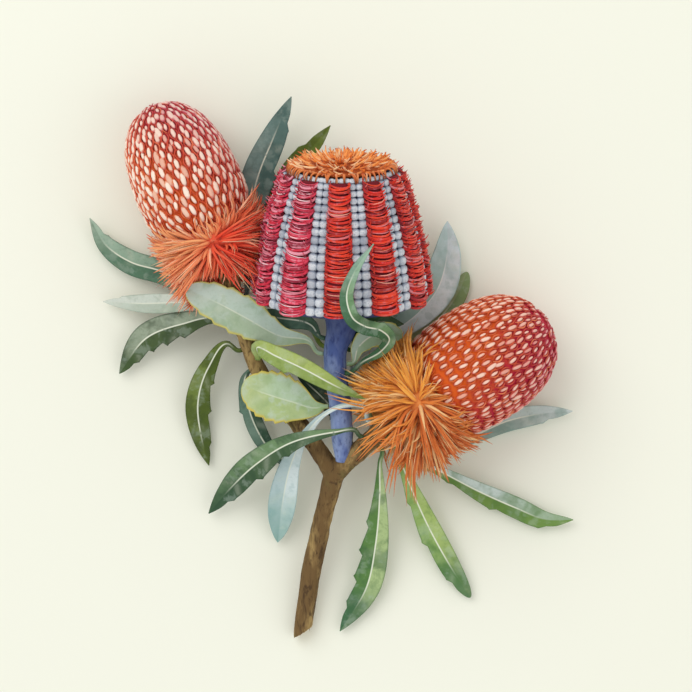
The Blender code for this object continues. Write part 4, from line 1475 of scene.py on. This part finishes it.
@dataclass
class Leaf:
    """One leaf: its finish, what it grows on, its midrib's route past the root, and its edge."""

    finish: LeafFinish
    carrier: str
    share: float
    points: tuple
    half_width: float
    left_teeth: int = 0
    right_teeth: int = 3
    tooth: float = 0.16
    widest: float = 0.55
    taper: float = 0.8
    petiole_half: float = 1.15
    petiole_thick: float = 2.0
    petiole_start: float = 2.5
    petiole_end: tuple = (0.05, 0.17)
    cup: float = 0.18
    wave: float = 0.32
    groove_deep: float = 0.28
    groove_half: float = 0.55
    midrib_high: float = 0.75
    midrib_half: float = 0.8
    teeth_from: float = 0.42
    teeth_span: float = 0.44
    notch_after: float = 0.028
    thin: float = 0.6
    rows: int = 84
    across_steps: int = 15

    def route(self) -> Route:
        """The midrib, with its root on the surface of what carries the leaf."""
        carrier = ROUTES[self.carrier]
        centre = carrier.at(self.share)
        along = carrier.tangent(self.share)
        towards = np.array(self.points[0]) - centre[:3]
        outward = unit(towards - along * np.dot(towards, along))
        root = centre[:3] + outward * (centre[3] + GAP)
        return Route((tuple(root), tuple(root + outward * self.petiole_start), *self.points))

    def half_at(self, share: float) -> float:
        """The half width of the blade before its teeth. A lower taper gives a blunter tip."""
        place = min(share ** (math.log(0.5) / math.log(self.widest)), 1.0)
        power = 0.8 if place < 0.5 else self.taper
        blade = math.sin(math.pi * place) ** power if share < 1.0 else 0.0
        return max(self.half_width * blade, self.petiole_half if share < 0.5 else 0.35)

    def teeth(self, count: int) -> tuple[list[float], list[float]]:
        """The shares where one edge turns, with 1 at a tooth's point and -1 in the notch after it."""
        most = max(self.left_teeth, self.right_teeth)
        shares, swings = [0.34], [0.0]
        for tooth in range(most - count, most):
            share = self.teeth_from + self.teeth_span * tooth / max(most - 1, 1)
            shares += [share - 0.012, share, share + self.notch_after]
            swings += [0.55, 1.0, -1.0]
        return shares + [0.93], swings + [0.0]

    def cut(self, share: float, steps: Vec, swings: list[float],
            ripple: float) -> tuple[list, list, list]:
        """One cut across the leaf.

        Args:
            share: where along the midrib it lies.
            steps: places across, from -1 at the left edge to 1 at the right.
            swings: how far its teeth push out each edge, as a share of the half width.
            ripple: where it lies in the wave of the edges, in radians.

        Returns:
            The distance of each place from the midrib, and the levels of the upper and the lower face.
        """
        half = self.half_at(share)
        stalk = 1.0 - fade(*self.petiole_end, share)
        offs, upper, lower = [], [], []
        for step in steps:
            side = 0 if step < 0 else 1
            reach = half * (1.0 + swings[side] * abs(step) ** 2.5) * step
            lift = self.cup * max(half - self.petiole_half, 0.0) * abs(step) ** 1.25
            wave = self.wave * math.sin(ripple + (0.0 if side else 2.0)) * step**2
            lift += wave * min(1.0, half / 5.0) * (1.0 - stalk)
            lift -= self.groove_deep * math.exp(-((reach / self.groove_half) ** 2)) * (1.0 - stalk)
            rib = self.midrib_high * math.exp(-((reach / self.midrib_half) ** 2)) * (1.0 - 0.6 * share)
            round_stalk = self.petiole_thick * math.sqrt(1.0 - 0.92 * step**2)
            thick = (self.thin + rib) * (1.0 - stalk) + round_stalk * stalk
            under = lift - 0.5 * thick
            offs.append(reach)
            upper.append(lift + 0.5 * thick)
            lower.append(min(under, lift - 0.5 * self.thin) if stalk < 1.0 else under)
        return offs, upper, lower

    def build(self) -> Object:
        """A channelled blade with a raised midrib, a toothed and slightly waved edge and a stalk."""
        route = self.route()
        draw = random.Random(len(self.finish.name) * 7 + int(self.half_width * 10))
        wave, phase = draw.uniform(9.0, 13.0), draw.uniform(0.0, 6.0)
        edges = [self.teeth(self.left_teeth), self.teeth(self.right_teeth)]
        shares = set(np.linspace(0.0, 1.0, self.rows)) | set(1.0 - np.geomspace(0.0006, 0.02, 7))
        shares = np.array(sorted(shares | set(edges[0][0]) | set(edges[1][0])))
        turns = np.linspace(-0.4, 0.4, self.across_steps) * math.pi
        steps = np.sin(turns) / math.sin(0.4 * math.pi)
        rings, offs = [], []
        for share in shares:
            centre = route.at(share)[:3]
            side, out = route.across(share)
            swings = [np.interp(share, *edge) * self.tooth for edge in edges]
            off, *faces = self.cut(share, steps, swings, share * route.length / wave * 6.28 + phase)
            upper, lower = ([centre + side * reach + out * level for reach, level in zip(off, levels)]
                            for levels in faces)
            rings.append(upper + lower[::-1])
            offs.append(off + off[::-1])
        grid = raised(np.array(rings), 0.1)
        along = np.repeat(shares[:, None], grid.shape[1], 1)
        return tube(self.finish.name.replace("leaf_", "blade_"), grid, self.finish.material(),
                    across=np.concatenate([steps, steps[::-1]]), off=np.array(offs), along=along,
                    run=along * route.length)


# Every leaf: finish, carrier and share of its route, midrib, half width and teeth on each side
LEAVES = (
    Leaf(LeafFinish("leaf_blue_top", Slot.LEAF_BLUE, "#7F9993", "#5F7D76", "#42605A"),
         "left_branch", 0.84,
         ((-41, 47, 24), (-38.5, 60, 13), (-40.5, 77, 10), (-37.5, 94, 12),
          (-28.5, 117, 20), (-19.5, 137.3, 24)),
         8.2, 0, 3, widest=0.60),
    Leaf(LeafFinish("leaf_olive_top", Slot.LEAF_OLIVE, "#7A8F34", "#8DA23C", "#55692A"),
         "stalk", 0.76,
         ((-9, 20, 24), (-24, 33, 9), (-30.5, 52, 4.5), (-29.5, 78, 5),
          (-19, 100, 13), (-8, 113, 22), (0, 122.5, 28)),
         5.8, 2, 2, widest=0.74),
    Leaf(LeafFinish("leaf_curling_left", Slot.LEAF_BLUE, "#4F765C", "#8CA892", "#3C5C4A", "#A9C0AC"),
         "left_branch", 0.90,
         ((-61, 40, 28), (-75, 44.5, 14), (-86, 50, 8), (-101, 54.5, 6),
          (-113.5, 63, 6.5), (-121.5, 76.5, 10)),
         6.6, 0, 2),
    Leaf(LeafFinish("leaf_pale_left", Slot.LEAF_PALE, "#AEBBAC", "#C6CFC4", "#8A9E88", "#D0D6CB",
                    rib_highlight_strength=0.5, bloom_share=0.4),
         "left_branch", 0.83,
         ((-59, 33.5, 30), (-74, 34, 21), (-95, 33.5, 10.5), (-115, 34.5, 5)),
         5.2, 0, 2),
    Leaf(LeafFinish("leaf_olive_left", Slot.LEAF_OLIVE, "#42562F", "#9AA791", "#2C4026", "#3C5428"),
         "left_branch", 0.74,
         ((-56, 25, 25), (-75, 23, 14.5), (-93, 16, 8.5), (-106.8, -2, 4.5)),
         7.4, 4, 0, widest=0.60),
    Leaf(LeafFinish("leaf_hanging_left", Slot.LEAF_OLIVE, "#4C5E1A", "#6E8038", "#3A4A18", "#42541A"),
         "left_branch", 0.64,
         ((-51, 13, 21), (-61.5, 1, 14), (-67, -18, 8), (-65.5, -33, 5),
          (-61.5, -48.5, 3.5)),
         6.2, 3, 0, widest=0.60),
    Leaf(LeafFinish("leaf_broad_upper", Slot.LEAF_PALE, "#AEC2A4", "#BCCFC0", "#8CA982", "#BFD0C8",
                    rim="#C9BE5E", rim_wide=0.09, bloom_share=0.5, rib_highlight_strength=0.5),
         "stalk", 0.72,
         ((-10, 14, 32), (-25, 17, 31), (-41, 25.5, 38.5), (-57, 34, 44),
          (-71.5, 40.5, 45.5)),
         10.2, 5, 5, tooth=0.07, widest=0.66, taper=0.42),
    Leaf(LeafFinish("leaf_green_across", Slot.LEAF_GREEN, "#A9BA66", "#8FA556", "#60792F", "#6B8838"),
         "left_branch", 0.60,
         ((-36.5, 11, 35.5), (-27, 7, 43), (-12, 0, 48), (4, -8.5, 48.5),
          (17.5, -14.5, 49.5)),
         5.4, 0, 2, widest=0.45),
    Leaf(LeafFinish("leaf_dark_hanging", Slot.LEAF_DARK, "#34523F", "#6C8A7A", "#26402F",
                    bloom_share=0.12),
         "left_branch", 0.55,
         ((-43, -4, 14), (-41, -20, 11), (-34.5, -35, 8), (-23.5, -49, 5)),
         4.8, 0, 2),
    Leaf(LeafFinish("leaf_broad_lower", Slot.LEAF_PALE, "#B0C388", "#B4CBA8", "#92AE78", "#B9C488",
                    rim="#D0BC4C", rim_wide=0.09, bloom_share=0.5, rib_highlight_strength=0.4),
         "stalk", 0.40,
         ((-7, -19, 32.5), (-19, -16, 31.5), (-32, -12, 31.5), (-44, -7.5, 32)),
         12.6, 5, 5, tooth=0.06, widest=0.60, taper=0.45),
    Leaf(LeafFinish("leaf_dark_behind", Slot.LEAF_DARK, "#37533A", "#2E4A34", "#20382A",
                    bloom_share=0.1),
         "right_branch", 0.36,
         ((9, -30, 20.5), (-2, -16, 17.5), (-17, -2, 17.5)),
         4.6, 2, 2),
    Leaf(LeafFinish("leaf_long_lower", Slot.LEAF_GREEN, "#415C3C", "#6E8C62", "#2C4A30", "#2C4C34"),
         "right_branch", 0.62,
         ((12.5, -30, 44), (2, -31, 45.5), (-16, -35, 43.5), (-36, -46.5, 27),
          (-50, -59.5, 12.5), (-61.5, -72.8, 5)),
         7, 3, 0, widest=0.66),
    Leaf(LeafFinish("leaf_pale_lower", Slot.LEAF_PALE, "#D6E3E4", "#B7CBCD", "#8FB0B0", "#6FA093",
                    bloom_share=0.35, rib_highlight_strength=0.6),
         "right_branch", 0.80,
         ((18, -19, 45), (6.5, -17.8, 44), (-4, -23, 40.5), (-13, -33.5, 36),
          (-19.5, -47, 26), (-24, -67, 14), (-26.6, -87.4, 4.5)),
         7.2, 1, 0, widest=0.78),
    Leaf(LeafFinish("leaf_hanging_centre", Slot.LEAF_GREEN, "#A8BE84", "#58803F", "#3A6238", "#2F5E48"),
         "right_branch", 0.60,
         ((25, -47, 26), (25, -62, 19), (23, -88, 11), (18.5, -110, 5.5),
          (5, -132.5, 3.5)),
         7.2, 0, 4, widest=0.66),
    Leaf(LeafFinish("leaf_hanging_right", Slot.LEAF_GREEN, "#A3BA6C", "#8FAE62", "#4F7A3A", "#2C5A46"),
         "right_branch", 0.74,
         ((35.5, -46, 23), (41, -60, 15), (49.5, -79, 9), (60.5, -99, 5),
          (71, -115.5, 3.5)),
         5.9, 0, 3, widest=0.66, taper=0.5),
    Leaf(LeafFinish("leaf_right_low", Slot.LEAF_GREEN, "#C3D2CC", "#6C8C40", "#4C7434", "#6E9248"),
         "right_branch", 0.82,
         ((40, -44, 34), (56, -51.5, 14), (75, -61.5, 6.5), (94, -70, 5),
          (109.5, -76, 4.5), (123, -76, 6)),
         5.6, 0, 3, widest=0.72),
    Leaf(LeafFinish("leaf_right_small", Slot.LEAF_BLUE, "#B5CAC4", "#98B5AA", "#6F968A", "#D3DEDC"),
         "right_branch", 0.94,
         ((43, -36, 15), (60, -38.5, 4.5), (74, -33, 3.5), (90, -26, 3.5),
          (106, -22.5, 5), (122.5, -21, 8)),
         5.4, 0, 2, widest=0.72),
    Leaf(LeafFinish("leaf_pale_behind", Slot.LEAF_PALE, "#A9C6BC", "#E4EEEE", "#8DB0A6", "#C3D6DA",
                    rib="#F4F8F4", bloom_share=0.4),
         "stalk", 0.55,
         ((13, 5, 24), (28, 16.5, 11), (44.5, 28.5, 8), (54.5, 41, 7.5),
          (58.8, 56, 9), (59.3, 75, 12)),
         8.8, 0, 0, widest=0.70),
    Leaf(LeafFinish("leaf_olive_behind", Slot.LEAF_OLIVE, "#B3BF94", "#8FA56E", "#7A9060",
                    bloom_share=0.35),
         "right_branch", 0.76,
         ((18, -15, 25), (25, 1, 9), (42, 14, 4), (58, 29, 3.2),
          (65.5, 40, 3.4), (69.5, 49.5, 4)),
         5.8, 1, 1, widest=0.76, taper=0.5),
    Leaf(LeafFinish("leaf_curled_front", Slot.LEAF_GREEN, "#3F6A46", "#6A8F62", "#2E5238", "#A3BFAE"),
         "stalk", 0.60,
         ((15.5, 3.5, 44), (25, 9, 51), (29.5, 15, 59), (25.5, 19.5, 68.5),
          (17, 21.8, 78.5), (10.5, 27, 88.5), (8.3, 36, 92), (12, 48, 93.6),
          (21.5, 62, 94)),
         4.2, 0, 1, widest=0.55),
    Leaf(LeafFinish("leaf_broad_right", Slot.LEAF_PALE, "#B7CDB8", "#A5C29A", "#86A67A",
                    rim="#C9C25C", rim_wide=0.1),
         "stalk", 0.66,
         ((14, 11, 37), (21, 17, 36.5), (29, 18.5, 34.5), (36.5, 17, 33)),
         6.2, 3, 3, tooth=0.08, widest=0.62, taper=0.5),
    Leaf(LeafFinish("leaf_dark_left", Slot.LEAF_DARK, "#5A7A68", "#46664F", "#2F4E38", bloom_share=0.1),
         "stalk", 0.80,
         ((-9, 22, 30.5), (-25, 26, 24), (-40, 28, 20)),
         4.8, 0, 2),
    Leaf(LeafFinish("leaf_dark_right", Slot.LEAF_DARK, "#3F6B38", "#4B7440", "#2C4E2A",
                    bloom_share=0.1),
         "stalk", 0.77,
         ((16, 20, 29.5), (25, 24, 24), (37, 23, 20)),
         4.4, 0, 2),
)


@dataclass
class Studio:
    """The pale floor, soft light and the camera that looks straight down."""

    # Name, place in metres, side in metres and power in watts of each light
    LIGHTS = (("key", (-1.1, 1.2, 1.9), 2.0, 25.0), ("fill", (1.6, -0.8, 1.6), 2.0, 7.5))

    middle: tuple = (8.0, 12.0, 38.0)
    view: float = 346.0
    distance: float = 2500.0
    sensor: float = 36.0
    farthest: float = 100.0
    floor_size: float = 8.0
    floor_colour: str = "#F1F2E4"
    sky: tuple = (1.0, 1.0, 0.98, 1.0)
    sky_strength: float = 0.74

    def floor(self) -> None:
        """A plain cream floor, which isn't part of the object."""
        half = 0.5 * self.floor_size / MM
        corners = np.array([(x * half, y * half, 0.0) for x, y in ((-1, -1), (1, -1), (1, 1), (-1, 1))])
        paint = Paint("paper", roughness=0.95)
        paint.shader.inputs["Base Color"].default_value = linear(self.floor_colour)
        MeshPlan([corners], [(0, 1, 2, 3)]).build("floor", paint.material)

    def light(self, name: str, place: tuple, size: float, power: float) -> None:
        """A square soft light that points at the branch.

        Args:
            name: its name.
            place: where it hangs, in metres.
            size: its side, in metres.
            power: its power, in watts.
        """
        made = bpy.data.lights.new(name, "AREA")
        made.size = size
        made.energy = power
        lamp = bpy.data.objects.new(name, made)
        bpy.context.scene.collection.objects.link(lamp)
        lamp.location = place
        lamp.rotation_euler = (-Vector(place)).to_track_quat("-Z", "Y").to_euler()

    def build(self) -> None:
        """Sets the floor, the lights, the pale surroundings and the camera."""
        self.floor()
        for row in self.LIGHTS:
            self.light(*row)
        scene = bpy.context.scene
        scene.world = bpy.data.worlds.new("surroundings")
        scene.world.use_nodes = True
        sky = scene.world.node_tree.nodes["Background"]
        sky.inputs["Color"].default_value = self.sky
        sky.inputs["Strength"].default_value = self.sky_strength
        scene.view_settings.view_transform = "Standard"
        lens = bpy.data.cameras.new("camera")
        lens.sensor_width = self.sensor
        lens.lens = self.sensor * self.distance / self.view
        lens.clip_end = self.farthest
        camera = bpy.data.objects.new("camera", lens)
        scene.collection.objects.link(camera)
        x, y, z = self.middle
        camera.location = (x * MM, y * MM, (z + self.distance) * MM)
        bpy.context.scene.camera = camera


def cone_heads() -> list[ConeHead]:
    """The two cone-shaped heads, with the finishes that set them apart."""
    leaves = [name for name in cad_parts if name.startswith("leaf_")]
    left = ConeHead(
        name="left", axis=Axis((-57.5, 62.5, 33.5), (-32.5, 71.0, -15.2)),
        profile=((8.4, 21.0), (18.0, 25.5), (30.0, 26.8), (45.0, 26.0), (58.0, 23.4), (68.0, 18.6),
                 (75.0, 11.5), (78.5, 4.0)),
        rings=19, around=37, stroke=(1.38, 3.3, 1.1), bun=(-13.0, 8.1, 20.0), reach=35.0,
        strands=1750,
        skin=ShadowFinish("left_cone_skin", "#E0601A", "#B8283A"),
        flowers=StrokeFinish("left_flowers", "#F6E3D2", "#D9702E", "#C4586A"),
        outlines=StrandFinish("left_outlines", "#C23A1C", "#DE5A2A", "#C03040", "#B83A30", "#E87A50",
                              light_from=0.85),
        fringe=StrandFinish("left_styles", "#E25E40", "#E84426", "#F7AC72", "#DE5232", "#FAC8A4",
                            tip_from=0.85, light_from=0.8, dark_share=0.35),
        cone_slot=Slot.LEFT_CONE, fringe_slot=Slot.LEFT_FRINGE,
        neighbours=[*leaves, "left_head_cone", "red_styles_08", "red_styles_09", "centre_head_flowers"],
        covers=["leaf_broad_upper"], warm_way=(-0.95, 0.3, 0.0), droop=0.4, seed=11)
    right = ConeHead(
        name="right", axis=Axis((42.5, -17.5, 36.6), (67.5, 42.5, -14.4)),
        profile=((9.4, 23.0), (19.0, 28.0), (32.0, 30.0), (48.0, 29.6), (60.0, 26.8), (69.5, 21.6),
                 (76.5, 13.5), (80.0, 4.5)),
        rings=15, around=52, stroke=(0.98, 2.55, 0.95), bun=(-12.0, 9.1, 22.0), reach=39.0,
        strands=1900,
        skin=ShadowFinish("right_cone_skin", "#E2621C", "#C22440"),
        flowers=StrokeFinish("right_flowers", "#F6D3BF", "#DE6C38", "#C43C5A"),
        outlines=StrandFinish("right_outlines", "#C4451C", "#E26A2C", "#BC2C48", "#BC3A34", "#EE8A58",
                              light_from=0.85),
        fringe=StrandFinish("right_styles", "#E8944E", "#D8702E", "#FBB24A", "#CE6A2C", "#FCD798",
                            tip_from=0.85, light_from=0.8, dark_share=0.3),
        cone_slot=Slot.RIGHT_CONE, fringe_slot=Slot.RIGHT_FRINGE,
        neighbours=[*leaves, "right_head_cone", "centre_head_flowers", "centre_stalk",
                    "left_head_fringe"],
        covers=["leaf_curled_front"], warm_way=(-0.5, 0.86, 0.0), droop=0.25, seed=23)
    return [left, right]


def main() -> None:
    """Builds every piece of the branch and the studio round it."""
    logging.basicConfig(level=logging.INFO, format="%(name)s: %(message)s")
    seat_piece(Wood().build(), Slot.BARK, "stem_wood")
    seat_piece(Stalk().build(), Slot.STALK, "centre_stalk")
    StripedHead().build()
    for head in cone_heads():
        head.build()
    for leaf in LEAVES:
        seat_piece(leaf.build(), leaf.finish.slot, leaf.finish.name)
    Studio().build()


if __name__ == "__main__":
    main()
